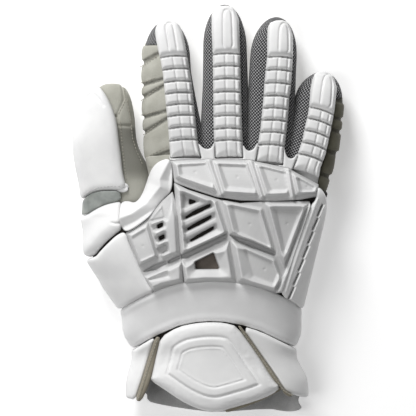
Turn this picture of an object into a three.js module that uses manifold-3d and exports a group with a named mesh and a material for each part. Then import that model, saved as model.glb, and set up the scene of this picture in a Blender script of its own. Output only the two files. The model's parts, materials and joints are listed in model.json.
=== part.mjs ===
// Padded lacrosse glove for the right hand, lying palm down, fingers along +Y and thumb at -X.
// A leather palm, knitted gussets and a fabric back make the open glove.
// Foam armour covers its back and its cuff.
import * as THREE from "three";
import { mergeVertices } from "three/addons/utils/BufferGeometryUtils.js";
import Module from "manifold-3d";

// Driving dimensions, in millimetres.
const HAND_WIDTH = 150; // across the four knuckles
const HAND_LENGTH = 121; // from the strap to the knuckles
const HAND_HEIGHT = 54; // palm to the crown of the fabric back
const FINGER_LENGTH = 122; // middle finger, knuckle to tip
const FINGER_HEIGHT = 29; // leather to knit, without the foam
const THUMB_HEIGHT = 34;
const LEATHER_WALL = 2.2;
const CLEARANCE = 0.35; // between two pieces that are sewn together
const FOAM_BASE = 4.5; // foam between the raised cells
const FOAM_CREST = 11; // foam at a cell's rim
const FOAM_RECESS = 7.5; // foam at a cell's dished middle
const SIDE_PAD = 5; // smooth panels on the two sides
const THUMB_PAD = 6;
const BAND_THICKNESS = 4.5; // reflective band on the thumb, over thin foam
const TAB_THICKNESS = 2.5;
const STRAP_THICKNESS = 5;
const CUFF_PAD = 8;
const SHIELD_PAD = 11;
const BINDING_WIDTH = 5;
const BINDING_HEIGHT = 9.5;
const STRIP_WIDTH = 22; // foam strip along a finger
const STRIP_BASE = 3.5; // foam in the grooves between the ribs
const RIB_HEIGHT = 8.5;
const RIB_BEVEL = 1.6;
const RIB_FALL = 0.6; // a rib is this much lower at its far end
const RIB_CUT = 2.4; // depth of the two lengthwise cuts in a rib
const CAP_RIDGE = 1.2; // height of the two narrow ridges on the cap over a fingertip
const CELL_BEVEL = 3.2; // width of the slope up a cell's sides
const CELL_RIM = 1.3; // width of the flat rim of a dished cell
const CELL_DIP = 2.9; // width of the slope from the rim down to the dished middle
const CELL_ROOT = 3.5; // a cell's sides start inside the plate's foam, this far above the fabric
const WING_PAD = 10;
const SEAM_HEIGHT = 15; // where the leather palm meets the fabric back
const PAD_HEM = 5; // lowest edge of the side panels above the surface
const ARMOUR_HEM = 24; // lowest edge of the armour on the back

const KNUCKLES = 0.5; // the row where the fingers start
// The hand and the cuff: a row for each section. at is a share of the hand's length, left and right are shares
// of its width, low and crown of its height, and square is how boxy the section is.
const HAND_ROWS = [
  { at: -1.19, left: -0.53, right: 0.345, low: 0.05, crown: 0.97, square: 2.4 },
  { at: -1.0, left: -0.524, right: 0.344, low: 0.04, crown: 0.93, square: 2.4 },
  { at: -0.78, left: -0.495, right: 0.285, low: 0.04, crown: 0.88, square: 2.4 },
  { at: -0.66, left: -0.555, right: 0.325, low: 0.03, crown: 0.88, square: 2.4 },
  { at: -0.5, left: -0.58, right: 0.333, low: 0.03, crown: 0.92, square: 2.4 },
  { at: -0.3, left: -0.68, right: 0.385, low: 0, crown: 0.97, square: 2.4 },
  { at: -0.05, left: -0.77, right: 0.43, low: 0, crown: 1, square: 2.4 },
  { at: 0.12, left: -0.68, right: 0.458, low: 0, crown: 1, square: 2.5 },
  { at: 0.22, left: -0.51, right: 0.468, low: 0.01, crown: 0.99, square: 2.7 },
  { at: 0.34, left: -0.45, right: 0.477, low: 0.03, crown: 0.95, square: 3.2 },
  { at: KNUCKLES, left: -0.465, right: 0.505, low: 0.11, crown: 0.82, square: 4 },
];
const HAND_SIDES = 20;
const HAND_MIDDLE = 0.42; // widest level, as a share of the way from low to crown
const CUFF_MOUTH = -1.19;
const CUFF_END = -1.3; // past the mouth, so that the hollow is open there
const WRIST_END = -0.78; // the palm and the fabric back end here, under the cuff's pads
const CUFF_TOP = -0.3; // all of the cuff's pads end below this row
// The knuckle line falls to the small finger, between two shares of the width.
// Rows above the one where it starts lean with it.
const SLANT = { from: 0.05, to: 0.44, drop: 0.175, bend: 1.5, starts: -0.3 };

// The fingers: centre and width are shares of the hand's width, length of the middle finger's.
// seam_left and seam_right say how high the leather climbs on each side, as shares of the half height.
const KNIT_SEAM = -0.35; // knit on that side
const LEATHER_SEAM = 0.72; // leather on that side
const FINGERS = [
  { name: "index", base: -0.322, tip: -0.36, bow: -0.012, wide: 0.29, end: 0.235, length: 0.9, ribs: 8,
    seam_left: LEATHER_SEAM, seam_right: KNIT_SEAM },
  { name: "middle", base: -0.05, tip: -0.05, bow: 0, wide: 0.243, end: 0.226, length: 1, ribs: 8,
    seam_left: KNIT_SEAM, seam_right: KNIT_SEAM },
  { name: "ring", base: 0.188, tip: 0.226, bow: -0.004, wide: 0.228, end: 0.25, length: 0.955, ribs: 8,
    seam_left: KNIT_SEAM, seam_right: KNIT_SEAM },
  { name: "pinky", base: 0.41, tip: 0.478, bow: 0.008, wide: 0.205, end: 0.238, length: 0.715, ribs: 5,
    seam_left: KNIT_SEAM, seam_right: LEATHER_SEAM },
];
const FINGER_STATIONS = [0, 0.3, 0.56, 0.76, 0.88, 0.95, 0.99];
const FINGER_SIDES = 12;
const FINGER_SQUARE = 2.4;
const FINGER_ROUND_FROM = 0.76; // where the tip starts to close
const FINGER_RISE = { base: 25, tip: 13.5, bend: 1.8 }; // height of the finger's centre line
const FINGER_TAPER = 0.12; // share of its height that a finger loses by its tip
const TIP_SEAM = -0.2; // round the tip the leather's high seam comes down to this share of its height
const CAVITY_FROM = -0.2; // a finger's cavity starts this far back in the hand, as a share of the finger
const CAP_SHARE = 0.27; // the long cap at the end of a foam strip
// The cap's sections: at is a share of the cap's length, height a share of a rib's.
const CAP_ROWS = [
  { at: 0.07, height: 1 },
  { at: 0.3, height: 1.12 },
  { at: 0.55, height: 1.12 },
  { at: 0.75, height: 0.95 },
  { at: 0.88, height: 0.7 },
  { at: 0.95, height: 0.45 },
];
// The two lengthwise cuts of a strip, as shares of its half width.
// A strip covers at most the last share of its finger.
const STRIP_CUTS = { inner: 0.24, bottom: 0.31, outer: 0.38 };
const STRIP_COVER = 0.8;

// The thumb: rows as for the hand.
const THUMB_ROWS = [
  { at: -0.05, left: -0.72, right: -0.5, low: 0.12, crown: 0.8 },
  { at: 0.13, left: -0.785, right: -0.47, low: 0.08, crown: 0.95 },
  { at: 0.23, left: -0.785, right: -0.42, low: 0.05, crown: 1 },
  { at: 0.34, left: -0.795, right: -0.437, low: 0.05, crown: 1 },
  { at: 0.46, left: -0.815, right: -0.465, low: 0.05, crown: 1 },
  { at: 0.6, left: -0.828, right: -0.516, low: 0.05, crown: 1 },
  { at: 0.8, left: -0.796, right: -0.545, low: 0.03, crown: 0.92 },
  { at: 0.9, left: -0.766, right: -0.559, low: 0.04, crown: 0.84 },
  { at: 0.965, left: -0.737, right: -0.575, low: 0.11, crown: 0.74 },
  { at: 1.005, left: -0.7, right: -0.61, low: 0.24, crown: 0.58 },
];
const THUMB_SIDES = 12;
const THUMB_SQUARE = 2.3;
const THUMB_END = 0.02; // the thumb's own leather starts here

// Outlines of the pads seen from above, as shares of the hand's width and length.
const OUTLINES = {
  knuckle_plate: [[-0.333, 0.488], [-0.145, 0.49], [0.086, 0.477], [0.285, 0.412], [0.441, 0.315],
    [0.425, 0.252], [0.355, 0.246], [0.151, 0.236], [0.032, 0.239], [-0.075, 0.263], [-0.237, 0.319],
    [-0.317, 0.356]],
  back_plate: [[-0.315, 0.336], [-0.237, 0.296], [-0.075, 0.233], [0.032, 0.209], [0.151, 0.206],
    [0.394, 0.213], [0.269, -0.207], [0.226, -0.372], [0.086, -0.32], [-0.102, -0.288], [-0.255, -0.3]],
  gill_plate: [[-0.573, 0.006], [-0.462, 0.086], [-0.392, 0.203], [-0.325, 0.276], [-0.266, -0.307],
    [-0.419, -0.367], [-0.511, -0.18]],
  wing: [[-0.343, 0.488], [-0.409, 0.487], [-0.441, 0.42], [-0.457, 0.327], [-0.484, 0.247],
    [-0.538, 0.193], [-0.597, 0.22], [-0.578, 0.035], [-0.468, 0.113], [-0.398, 0.234], [-0.33, 0.307]],
  side_panel: [[0.452, 0.3], [0.48, 0.283], [0.505, 0.262], [0.54, 0.23], [0.62, 0.16], [0.62, -0.46],
    [0.333, -0.453], [0.238, -0.38], [0.281, -0.22], [0.404, 0.207], [0.434, 0.25]],
  thumb_shell: [[-1.02, 0.14], [-0.823, 0.213], [-0.796, 0.26], [-0.72, 0.302], [-0.618, 0.315],
    [-0.591, 0.333], [-0.604, 0.5], [-0.618, 0.617], [-0.631, 0.783], [-0.667, 0.889], [-0.71, 0.965],
    [-0.725, 1.1], [-1.02, 1.1]],
  thumb_band: [[-1.02, 0.132], [-0.823, 0.205], [-0.796, 0.253], [-0.72, 0.295], [-0.618, 0.309],
    [-0.608, 0.24], [-0.72, 0.201], [-0.796, 0.147], [-1.02, 0.03]],
  thumb_base_pad: [[-1.02, 0.02], [-0.796, 0.139], [-0.72, 0.193], [-0.605, 0.231], [-0.586, 0.028],
    [-0.677, -0.04], [-0.747, -0.16], [-1.02, -0.37]],
  thumb_side_panel: [[-1.02, -0.38], [-0.745, -0.17], [-0.672, -0.05], [-0.58, 0.017], [-0.519, -0.183],
    [-0.431, -0.373], [-0.505, -0.42], [-0.624, -0.5], [-0.85, -0.665]],
  thumb_tab: [[-0.583, 0.343], [-0.556, 0.343], [-0.556, 0.28], [-0.594, 0.28], [-0.594, 0.31]],
  wrist_strap: [[-0.85, -0.69], [-0.62, -0.513], [-0.56, -0.467], [-0.505, -0.431], [-0.398, -0.368],
    [-0.285, -0.318], [-0.118, -0.3], [0.025, -0.316], [0.14, -0.354], [0.24, -0.4], [0.317, -0.448],
    [0.42, -0.505], [0.42, -0.76], [0.324, -0.75], [0.24, -0.7], [0.14, -0.637], [0.04, -0.597],
    [-0.054, -0.577], [-0.129, -0.573], [-0.206, -0.58], [-0.298, -0.603], [-0.398, -0.657],
    [-0.468, -0.703], [-0.532, -0.762], [-0.85, -0.762]],
};
// The cuff's three pads: a shield between two slanting bound edges, with a flap beyond each.
const BOUND_LEFT = [[-0.411, -0.69], [-0.462, -0.98], [-0.517, -1.105]];
const BOUND_RIGHT = [[0.03, -0.605], [0.155, -0.82], [0.275, -1.05]];
const SHIELD_TOP = [[-0.38, -0.66], [-0.298, -0.612], [-0.206, -0.587], [-0.129, -0.58], [-0.054, -0.584]];
const SHIELD_END = [[0.2, -1.06], [0.102, -1.1], [-0.005, -1.14], [-0.083, -1.165], [-0.145, -1.16],
  [-0.206, -1.138], [-0.285, -1.091], [-0.376, -1.02]];
const FLAP_LEFT = [[-0.567, -1.09], [-0.7, -1.03], [-0.7, -0.752], [-0.54, -0.769], [-0.468, -0.712]];
const FLAP_RIGHT = [[0.14, -0.645], [0.24, -0.708], [0.324, -0.758], [0.5, -0.768], [0.5, -1.02],
  [0.385, -1.065]];
const CUFF_PALM = [[-0.7, -0.775], [0.5, -0.775], [0.5, -1.15], [0.35, -1.185], [0.29, -1.186],
  [0.19, -1.165], [-0.09, -1.19], [-0.32, -1.155], [-0.45, -1.11], [-0.7, -1.09]];

// Raised cells of the armour, each with its own bevelled outline.
// Dished cells have a rim around a lower middle.
const CELLS = [
  { plate: "knuckle_plate", dished: true,
    outline: [[-0.328, 0.48], [-0.158, 0.48], [-0.088, 0.283], [-0.312, 0.358]] },
  { plate: "knuckle_plate", dished: true,
    outline: [[-0.122, 0.482], [0.066, 0.468], [0.14, 0.245], [-0.06, 0.266]] },
  { plate: "knuckle_plate", dished: true,
    outline: [[0.104, 0.462], [0.275, 0.402], [0.293, 0.252], [0.164, 0.245]] },
  { plate: "knuckle_plate", dished: false,
    outline: [[0.304, 0.39], [0.43, 0.31], [0.411, 0.256], [0.32, 0.252]] },
  { plate: "back_plate", dished: true,
    outline: [[-0.305, 0.322], [-0.09, 0.226], [-0.042, 0.007], [-0.278, -0.128]] },
  { plate: "back_plate", dished: true,
    outline: [[-0.275, -0.155], [-0.05, -0.026], [-0.018, -0.29], [-0.25, -0.297]] },
  { plate: "back_plate", dished: true,
    outline: [[-0.064, 0.222], [0.139, 0.198], [0.208, -0.108], [-0.014, 0.006]] },
  { plate: "back_plate", dished: true,
    outline: [[0.166, 0.198], [0.381, 0.203], [0.266, -0.18]] },
  { plate: "back_plate", dished: true,
    outline: [[-0.008, -0.03], [0.21, -0.146], [0.254, -0.222], [0.217, -0.352], [0.014, -0.3]] },
  { plate: "gill_plate", dished: false,
    outline: [[-0.562, 0.0], [-0.462, 0.074], [-0.42, -0.12], [-0.5, -0.175]] },
  { plate: "gill_plate", dished: false,
    outline: [[-0.445, 0.086], [-0.332, 0.262], [-0.28, -0.1], [-0.385, -0.135]] },
  { plate: "gill_plate", dished: false,
    outline: [[-0.462, -0.262], [-0.29, -0.165], [-0.274, -0.3], [-0.418, -0.352]] },
];
// Openings cut right through the armour: long vents, slots between the bars, and the window.
const CUTS = [
  { plate: "back_plate", outline: [[-0.204, -0.18], [-0.102, -0.113], [-0.083, -0.22], [-0.204, -0.223]] },
  { plate: "back_plate", outline: [[-0.262, 0.118], [-0.128, 0.196], [-0.122, 0.172], [-0.26, 0.094]] },
  { plate: "back_plate", outline: [[-0.26, 0.03], [-0.114, 0.12], [-0.11, 0.094], [-0.258, 0.006]] },
  { plate: "back_plate", outline: [[-0.25, -0.045], [-0.108, 0.042], [-0.104, 0.018], [-0.246, -0.07]] },
  { plate: "gill_plate", outline: [[-0.43, 0.05], [-0.39, 0.077], [-0.384, 0.05], [-0.42, 0.03]] },
  { plate: "gill_plate", outline: [[-0.417, -0.013], [-0.379, 0.01], [-0.374, -0.02], [-0.408, -0.037]] },
  { plate: "gill_plate", outline: [[-0.401, -0.075], [-0.371, -0.06], [-0.366, -0.095], [-0.39, -0.11]] },
  { plate: "gill_plate", outline: [[-0.484, -0.222], [-0.371, -0.168], [-0.366, -0.19], [-0.473, -0.247]] },
];

// What cuts: an outline round the whole glove, heights over and under it.
// A section nearer to a cut than NEAR, as a share of the length, is left out.
const AROUND = [[-1.5, -1.5], [1.5, -1.5], [1.5, 2.5], [-1.5, 2.5]];
const HIGH = 2 * HAND_HEIGHT;
const DEEP = -HAND_HEIGHT;
const NEAR = 0.01;
const PAST = 0.1; // share of its length by which a block reaches past the finger that it cuts
const STEEPEST = 0.99; // no height is read nearer to a section's edge than this share of its half width

const wasm = await Module();
wasm.setup();

// Any geometry as a solid whose faces point outwards.
function solidOf(positions, faces) {
  const merged = mergeVertices(
    new THREE.BufferGeometry()
      .setAttribute("position", new THREE.Float32BufferAttribute(positions, 3))
      .setIndex(faces),
    1e-4,
  );
  const make = (triVerts) =>
    new wasm.Manifold(
      new wasm.Mesh({ numProp: 3, vertProperties: merged.attributes.position.array, triVerts }),
    );
  const triVerts = new Uint32Array(merged.index.array);
  const first = make(triVerts);
  return first.volume() > 0 ? first : make(triVerts.reverse());
}

// A section's end cap joins its upper and lower halves, a cell's is a fan from its first corner,
// and an outline's is triangulated as seen from one side.
const halvesJoined = (ring) => {
  const count = ring.length;
  const half = count / 2;
  const faces = [[0, 1, count - 1], [half - 1, half, half + 1]];
  for (let i = 1; i < half - 1; i++) faces.push([i, i + 1, count - i - 1], [i, count - i - 1, count - i]);
  return faces;
};
const fan = (ring) => ring.slice(2).map((_, i) => [0, i + 1, i + 2]);
const asSeen = (flat) => (points) => {
  const ring = points.map(flat);
  const way = Math.sign(THREE.ShapeUtils.area(ring));
  return THREE.ShapeUtils.triangulateShape(ring, []).map(([a, b, c]) =>
    THREE.ShapeUtils.area([ring[a], ring[b], ring[c]]) * way > 0 ? [a, b, c] : [a, c, b],
  );
};
const acrossY = asSeen(([x, , z]) => new THREE.Vector2(x, z));
const fromAbove = asSeen(([x, y]) => new THREE.Vector2(x, y));

// A closed solid through rings that have as many points each.
function loft(rings, capFaces) {
  const sides = rings[0].length;
  const positions = rings.flat().flat();
  const faces = [];
  for (let k = 0; k + 1 < rings.length; k++)
    for (let i = 0; i < sides; i++) {
      const a = k * sides + i;
      const b = k * sides + ((i + 1) % sides);
      faces.push(a, b, b + sides, a, b + sides, a + sides);
    }
  const last = rings.length - 1;
  for (const [a, b, c] of capFaces(rings[0])) faces.push(a, c, b);
  for (const face of capFaces(rings[last])) faces.push(...face.map((i) => i + last * sides));
  return solidOf(positions, faces);
}

// A value of a table at any place between two rows.
function rowAt(rows, at) {
  const k = Math.min(Math.max(rows.findIndex((row) => row.at > at), 1), rows.length - 1);
  const low = at >= rows.at(-1).at ? rows.at(-1) : rows[k - 1];
  const high = at >= rows.at(-1).at ? rows.at(-1) : rows[k];
  const share = high === low ? 0 : Math.max(0, (at - low.at) / (high.at - low.at));
  return Object.fromEntries(Object.keys(low).map((key) => [key, low[key] + (high[key] - low[key]) * share]));
}

// The places of a table's rows between two others, and those two.
const between = (rows, from, to) =>
  [from, ...rows.map((row) => row.at).filter((at) => at > from + NEAR && at < to - NEAR), to];

// The knuckle line falls towards the small finger, and the rows near it lean with it.
function slantAt(x) {
  const along = Math.max(0, (x / HAND_WIDTH - SLANT.from) / (SLANT.to - SLANT.from));
  return SLANT.drop * along ** SLANT.bend;
}
const leanOf = (at) => Math.max(0, (at - SLANT.starts) / (KNUCKLES - SLANT.starts));
const knuckleY = (x) => (KNUCKLES - slantAt(x)) * HAND_LENGTH;

// One superellipse section, counterclockwise from +X, with its half sizes grown by offset.
function sectionPoint(section, angle) {
  const c = Math.cos(angle);
  const s = Math.sin(angle);
  const reach = 2 / section.square;
  const x = section.x + section.halfWidth * Math.sign(c) * Math.abs(c) ** reach;
  const z = section.z + (s > 0 ? section.above : section.below) * Math.sign(s) * Math.abs(s) ** reach;
  return [x, z];
}
const angles = (sides) => Array.from({ length: sides }, (_, i) => (i * 2 * Math.PI) / sides);

function handSection(at, offset) {
  const row = rowAt(HAND_ROWS, at);
  const z = (row.low + (row.crown - row.low) * HAND_MIDDLE) * HAND_HEIGHT;
  return {
    x: ((row.left + row.right) / 2) * HAND_WIDTH,
    halfWidth: ((row.right - row.left) / 2) * HAND_WIDTH + offset,
    z,
    above: row.crown * HAND_HEIGHT - z + offset,
    below: z - row.low * HAND_HEIGHT + offset,
    square: row.square,
  };
}
// The hand grown by offset, from one row to another, closed at both ends.
function hand(offset, from = CUFF_MOUTH, to = KNUCKLES) {
  return loft(
    between(HAND_ROWS, from, to).map((at) => {
      const section = handSection(at, offset);
      const skin = handSection(at, 0);
      return angles(HAND_SIDES).map((angle) => {
        const [x, z] = sectionPoint(section, angle);
        const [lean] = sectionPoint(skin, angle);
        return [x, (at - slantAt(lean) * leanOf(at)) * HAND_LENGTH, z];
      });
    }),
    halvesJoined,
  );
}
// Height of the fabric back above the surface at a place seen from above.
function handTop(x, y) {
  const slant = slantAt(x);
  const span = KNUCKLES - SLANT.starts;
  const level = y / HAND_LENGTH;
  const at = level < SLANT.starts ? level : (level - (slant * SLANT.starts) / span) / (1 - slant / span);
  const section = handSection(at, 0);
  const out = Math.min(STEEPEST, Math.abs(x - section.x) / section.halfWidth);
  return section.z + section.above * (1 - out ** section.square) ** (1 / section.square);
}

function thumb(offset, from = THUMB_ROWS[0].at, to = THUMB_ROWS.at(-1).at) {
  return loft(
    between(THUMB_ROWS, from, to).map((at) => {
      const row = rowAt(THUMB_ROWS, at);
      const half = ((row.crown - row.low) / 2) * THUMB_HEIGHT;
      const section = {
        x: ((row.left + row.right) / 2) * HAND_WIDTH,
        halfWidth: ((row.right - row.left) / 2) * HAND_WIDTH + offset,
        z: row.low * THUMB_HEIGHT + half,
        above: half + offset,
        below: half + offset,
        square: THUMB_SQUARE,
      };
      const past = ((at - from) / (to - from)) * offset;
      return angles(THUMB_SIDES).map((angle) => {
        const [x, z] = sectionPoint(section, angle);
        return [x, at * HAND_LENGTH + past, z];
      });
    }),
    halvesJoined,
  );
}

// A finger's section at a share t of its length; the tip closes as half an ellipse does.
function fingerSection(finger, t, offset) {
  const closing = Math.max(0, (t - FINGER_ROUND_FROM) / (1 - FINGER_ROUND_FROM));
  const round = Math.sqrt(Math.max(0, 1 - closing ** 2));
  const bow = finger.bow * 4 * t * (1 - t);
  const along = Math.max(0, t);
  const half = (FINGER_HEIGHT / 2) * (1 - FINGER_TAPER * along);
  return {
    x: (finger.base + (finger.tip - finger.base) * t + bow) * HAND_WIDTH,
    halfWidth: round * (((finger.wide + (finger.end - finger.wide) * along) / 2) * HAND_WIDTH + offset),
    z: FINGER_RISE.base + (FINGER_RISE.tip - FINGER_RISE.base) * along ** FINGER_RISE.bend,
    above: round * (half + offset),
    below: round * (half + offset),
    square: FINGER_SQUARE,
  };
}
function fingerY(finger, t, x, offset) {
  const length = finger.length * FINGER_LENGTH + offset;
  const middle = finger.base * HAND_WIDTH;
  const start = knuckleY(x) * (1 - t) + knuckleY(middle) * t;
  return start + CLEARANCE + (length - CLEARANCE) * t;
}
function fingerTube(finger, offset, stations) {
  return loft(
    stations.map((t) => {
      const section = fingerSection(finger, t, offset);
      return angles(FINGER_SIDES).map((angle) => {
        const [x, z] = sectionPoint(section, angle);
        return [x, fingerY(finger, t, x, offset), z];
      });
    }),
    halvesJoined,
  );
}
// Everything above or below the seam between leather and knit, as a block that follows the finger.
function fingerHalf(finger, side) {
  const reach = finger.wide * HAND_WIDTH;
  return loft(
    [-PAST, ...FINGER_STATIONS.slice(1, -1), 1 + PAST].map((t) => {
      const section = fingerSection(finger, Math.min(t, FINGER_ROUND_FROM), 0);
      const drop = t < FINGER_ROUND_FROM ? 1 : TIP_SEAM;
      const x = fingerSection(finger, t, 0).x;
      const z = fingerSection(finger, Math.min(t, 1), 0).z;
      const level = z + (side * CLEARANCE) / 2;
      const seam = (height) => level + section.above * (height < 0 ? height : height * drop);
      const y = fingerY(finger, t, x, 0);
      const end = side > 0 ? HIGH : DEEP;
      return [
        [x - reach, y, end],
        [x + reach, y, end],
        [x + reach, y, seam(finger.seam_right)],
        [x - reach, y, seam(finger.seam_left)],
      ];
    }),
    acrossY,
  );
}

// The foam strip along a finger's back: ribs with bevelled ends and two cuts, then a long cap over the tip.
function stripStations(finger) {
  const pitch = (1 - CAP_SHARE) / finger.ribs;
  const bevel = RIB_BEVEL / (finger.length * FINGER_LENGTH);
  const stations = [];
  for (let rib = 0; rib < finger.ribs; rib++) {
    const start = rib * pitch;
    stations.push({ t: start, height: STRIP_BASE, cut: 0 });
    stations.push({ t: start + bevel, height: RIB_HEIGHT, cut: RIB_CUT });
    stations.push({ t: start + pitch - 2 * bevel, height: RIB_HEIGHT - RIB_FALL, cut: RIB_CUT });
  }
  const capFrom = 1 - CAP_SHARE;
  stations.push({ t: capFrom, height: STRIP_BASE, cut: 0 });
  for (const { at, height } of CAP_ROWS)
    stations.push({ t: capFrom + CAP_SHARE * at, height: RIB_HEIGHT * height, cut: -CAP_RIDGE });
  return stations;
}
function fingerStrip(finger) {
  const { inner, bottom, outer } = STRIP_CUTS;
  return loft(
    stripStations(finger).map(({ t, height, cut }) => {
      const knit = fingerSection(finger, t, CLEARANCE);
      const half = Math.min(STRIP_WIDTH / 2, STRIP_COVER * knit.halfWidth);
      const point = (across, depth) => {
        const section = fingerSection(finger, t, depth);
        const out = Math.min(STEEPEST, Math.abs(across * half) / knit.halfWidth);
        const z = section.z + section.above * (1 - out ** section.square) ** (1 / section.square);
        const x = knit.x + across * half;
        return [x, fingerY(finger, t, x, CLEARANCE + (depth - CLEARANCE) * t), z];
      };
      const edge = height - Math.min(RIB_BEVEL / 2, height - STRIP_BASE + CLEARANCE);
      return [
        point(-1, CLEARANCE),
        point(-1, edge),
        point(-outer, height),
        point(-bottom, height - cut),
        point(-inner, height),
        point(inner, height),
        point(bottom, height - cut),
        point(outer, height),
        point(1, edge),
        point(1, CLEARANCE),
        point(0.5, CLEARANCE),
        point(0, CLEARANCE),
        point(-0.5, CLEARANCE),
      ];
    }),
    acrossY,
  );
}

const placed = (outline) => outline.map(([x, y]) => [x * HAND_WIDTH, y * HAND_LENGTH]);
function prism(outline, low, high) {
  const ring = placed(outline);
  return loft([ring.map(([x, y]) => [x, y, low]), ring.map(([x, y]) => [x, y, high])], fromAbove);
}
// The corners of an outline moved inwards by a distance in millimetres.
function inset(ring, distance) {
  const way = Math.sign(THREE.ShapeUtils.area(ring.map(([x, y]) => new THREE.Vector2(x, y))));
  const count = ring.length;
  return ring.map((corner, i) => {
    const before = ring[(i + count - 1) % count];
    const after = ring[(i + 1) % count];
    const normal = (from, to) => {
      const length = Math.hypot(to[0] - from[0], to[1] - from[1]);
      return [(-way * (to[1] - from[1])) / length, (way * (to[0] - from[0])) / length];
    };
    const n = normal(before, corner);
    const m = normal(corner, after);
    const scale = distance / (1 + n[0] * m[0] + n[1] * m[1]);
    return [corner[0] + (n[0] + m[0]) * scale, corner[1] + (n[1] + m[1]) * scale];
  });
}
// A raised cell: its sides slope up to a rim, and a dished one falls again to its middle.
function cell(outline, dished) {
  const ring = placed(outline);
  const levels = [
    { in: 0, height: CELL_ROOT },
    { in: CELL_BEVEL, height: FOAM_CREST },
  ];
  if (dished) {
    levels.push({ in: CELL_BEVEL + CELL_RIM, height: FOAM_CREST });
    levels.push({ in: CELL_BEVEL + CELL_RIM + CELL_DIP, height: FOAM_RECESS });
  }
  const rings = levels.map((level) =>
    inset(ring, level.in).map(([x, y]) => [x, y, handTop(x, y) + level.height]),
  );
  return loft([ring.map(([x, y]) => [x, y, ARMOUR_HEM]), ...rings], fan);
}

// The whole glove without its foam, grown by an offset; what lies on it is cut from such shells.
const grown = new Map();
function glove(offset) {
  if (!grown.has(offset)) grown.set(offset, hand(offset).add(thumb(offset)));
  return grown.get(offset);
}
const shell = (inner, outer) => glove(outer).subtract(glove(inner));
const pad = (name, thickness, low = PAD_HEM) =>
  prism(OUTLINES[name], low, HIGH).intersect(shell(CLEARANCE, thickness));
function plate(name) {
  let solid = pad(name, FOAM_BASE, ARMOUR_HEM);
  const own = (rows) => rows.filter((row) => row.plate === name);
  for (const { outline, dished } of own(CELLS)) solid = solid.add(cell(outline, dished));
  for (const { outline } of own(CUTS)) solid = solid.subtract(prism(outline, DEEP, HIGH));
  return solid.subtract(glove(CLEARANCE));
}

const root = new THREE.Group();
const COLOURS = {
  foam: { color: 0xeeeeec, roughness: 0.55 },
  leather: { color: 0xb0ad9f, roughness: 0.75 },
  sideLeather: { color: 0x77745f, roughness: 0.75 },
  palm: { color: 0x8f8c82, roughness: 0.8 },
  knit: { color: 0x77777a, roughness: 0.95 },
  fabric: { color: 0x5c544c, roughness: 0.95 },
  reflective: { color: 0x9aa196, roughness: 0.35 },
  binding: { color: 0xa49a86, roughness: 0.8 },
  lining: { color: 0x8a8a8a, roughness: 0.9 },
};
function piece(name, solid, finish) {
  const mesh = solid.getMesh();
  const geometry = new THREE.BufferGeometry()
    .setAttribute("position", new THREE.BufferAttribute(mesh.vertProperties, 3))
    .setIndex(new THREE.BufferAttribute(mesh.triVerts, 1));
  const made = new THREE.Mesh(geometry, new THREE.MeshStandardMaterial({ ...COLOURS[finish], metalness: 0 }));
  made.name = name;
  root.add(made);
}

// The open glove: palm, fabric back and thumb share one cavity, which the fingers' cavities run into.
const wallShare = LEATHER_WALL / HAND_LENGTH;
const thumbCavity = thumb(-LEATHER_WALL, 0, 1 - wallShare / 2);
const cavity = hand(-LEATHER_WALL, CUFF_END, KNUCKLES - wallShare).add(thumbCavity);
const cavityStations = [CAVITY_FROM, ...FINGER_STATIONS];
const cavities = FINGERS.map((finger) => fingerTube(finger, -LEATHER_WALL, cavityStations));
let body = hand(0, WRIST_END, KNUCKLES).subtract(cavity);
for (const hole of cavities) body = body.subtract(hole);
const seamBottom = SEAM_HEIGHT - CLEARANCE / 2;
const seamTop = SEAM_HEIGHT + CLEARANCE / 2;
piece("palm", body.intersect(prism(AROUND, DEEP, seamBottom)), "palm");
piece("hand_back", body.intersect(prism(AROUND, seamTop, HIGH)), "fabric");
piece("thumb_leather", thumb(0, THUMB_END).subtract(hand(CLEARANCE)).subtract(cavity), "leather");

FINGERS.forEach((finger, i) => {
  const sock = fingerTube(finger, 0, FINGER_STATIONS).subtract(cavities[i]);
  const outer = { index: "leather", pinky: "sideLeather" }[finger.name] ?? "palm";
  piece(`${finger.name}_leather`, sock.intersect(fingerHalf(finger, -1)), outer);
  piece(`${finger.name}_mesh`, sock.intersect(fingerHalf(finger, 1)), "knit");
  piece(`${finger.name}_back`, fingerStrip(finger), "foam");
});

for (const name of ["knuckle_plate", "back_plate", "gill_plate"]) piece(name, plate(name), "foam");
piece("wing", pad("wing", WING_PAD, ARMOUR_HEM), "foam");
piece("side_panel", pad("side_panel", SIDE_PAD), "foam");
piece("thumb_side_panel", pad("thumb_side_panel", SIDE_PAD), "foam");
piece("thumb_shell", pad("thumb_shell", THUMB_PAD), "foam");
piece("thumb_base_pad", pad("thumb_base_pad", SIDE_PAD), "foam");
piece("thumb_band", pad("thumb_band", BAND_THICKNESS), "reflective");
piece("thumb_tab", pad("thumb_tab", TAB_THICKNESS), "foam");
piece("wrist_strap", pad("wrist_strap", STRAP_THICKNESS), "foam");

// The cuff: its foam is the wall itself beyond the wrist, where the fabric back ends.
const shifted = (line, millimetres) => line.map(([x, y]) => [x + millimetres / HAND_WIDTH, y]);
const bindingHalf = BINDING_WIDTH / 2;
const edgeHalf = bindingHalf + CLEARANCE;
const wristSpace = hand(CLEARANCE, CUFF_END);
const cuffPad = (outline, thickness, low = seamTop, high = HIGH) =>
  prism(outline, low, high).intersect(hand(thickness, CUFF_MOUTH, CUFF_TOP).subtract(wristSpace));
const leftEdge = shifted(BOUND_LEFT.slice(0, 2), edgeHalf);
const rightEdge = shifted(BOUND_RIGHT, -edgeHalf).reverse();
const shield = [...leftEdge, ...SHIELD_END.toReversed(), ...rightEdge, ...SHIELD_TOP.toReversed()];
const leftFlap = [...shifted(BOUND_LEFT, -edgeHalf), ...FLAP_LEFT];
const rightFlap = [...shifted(BOUND_RIGHT, edgeHalf).reverse(), ...FLAP_RIGHT];
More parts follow.
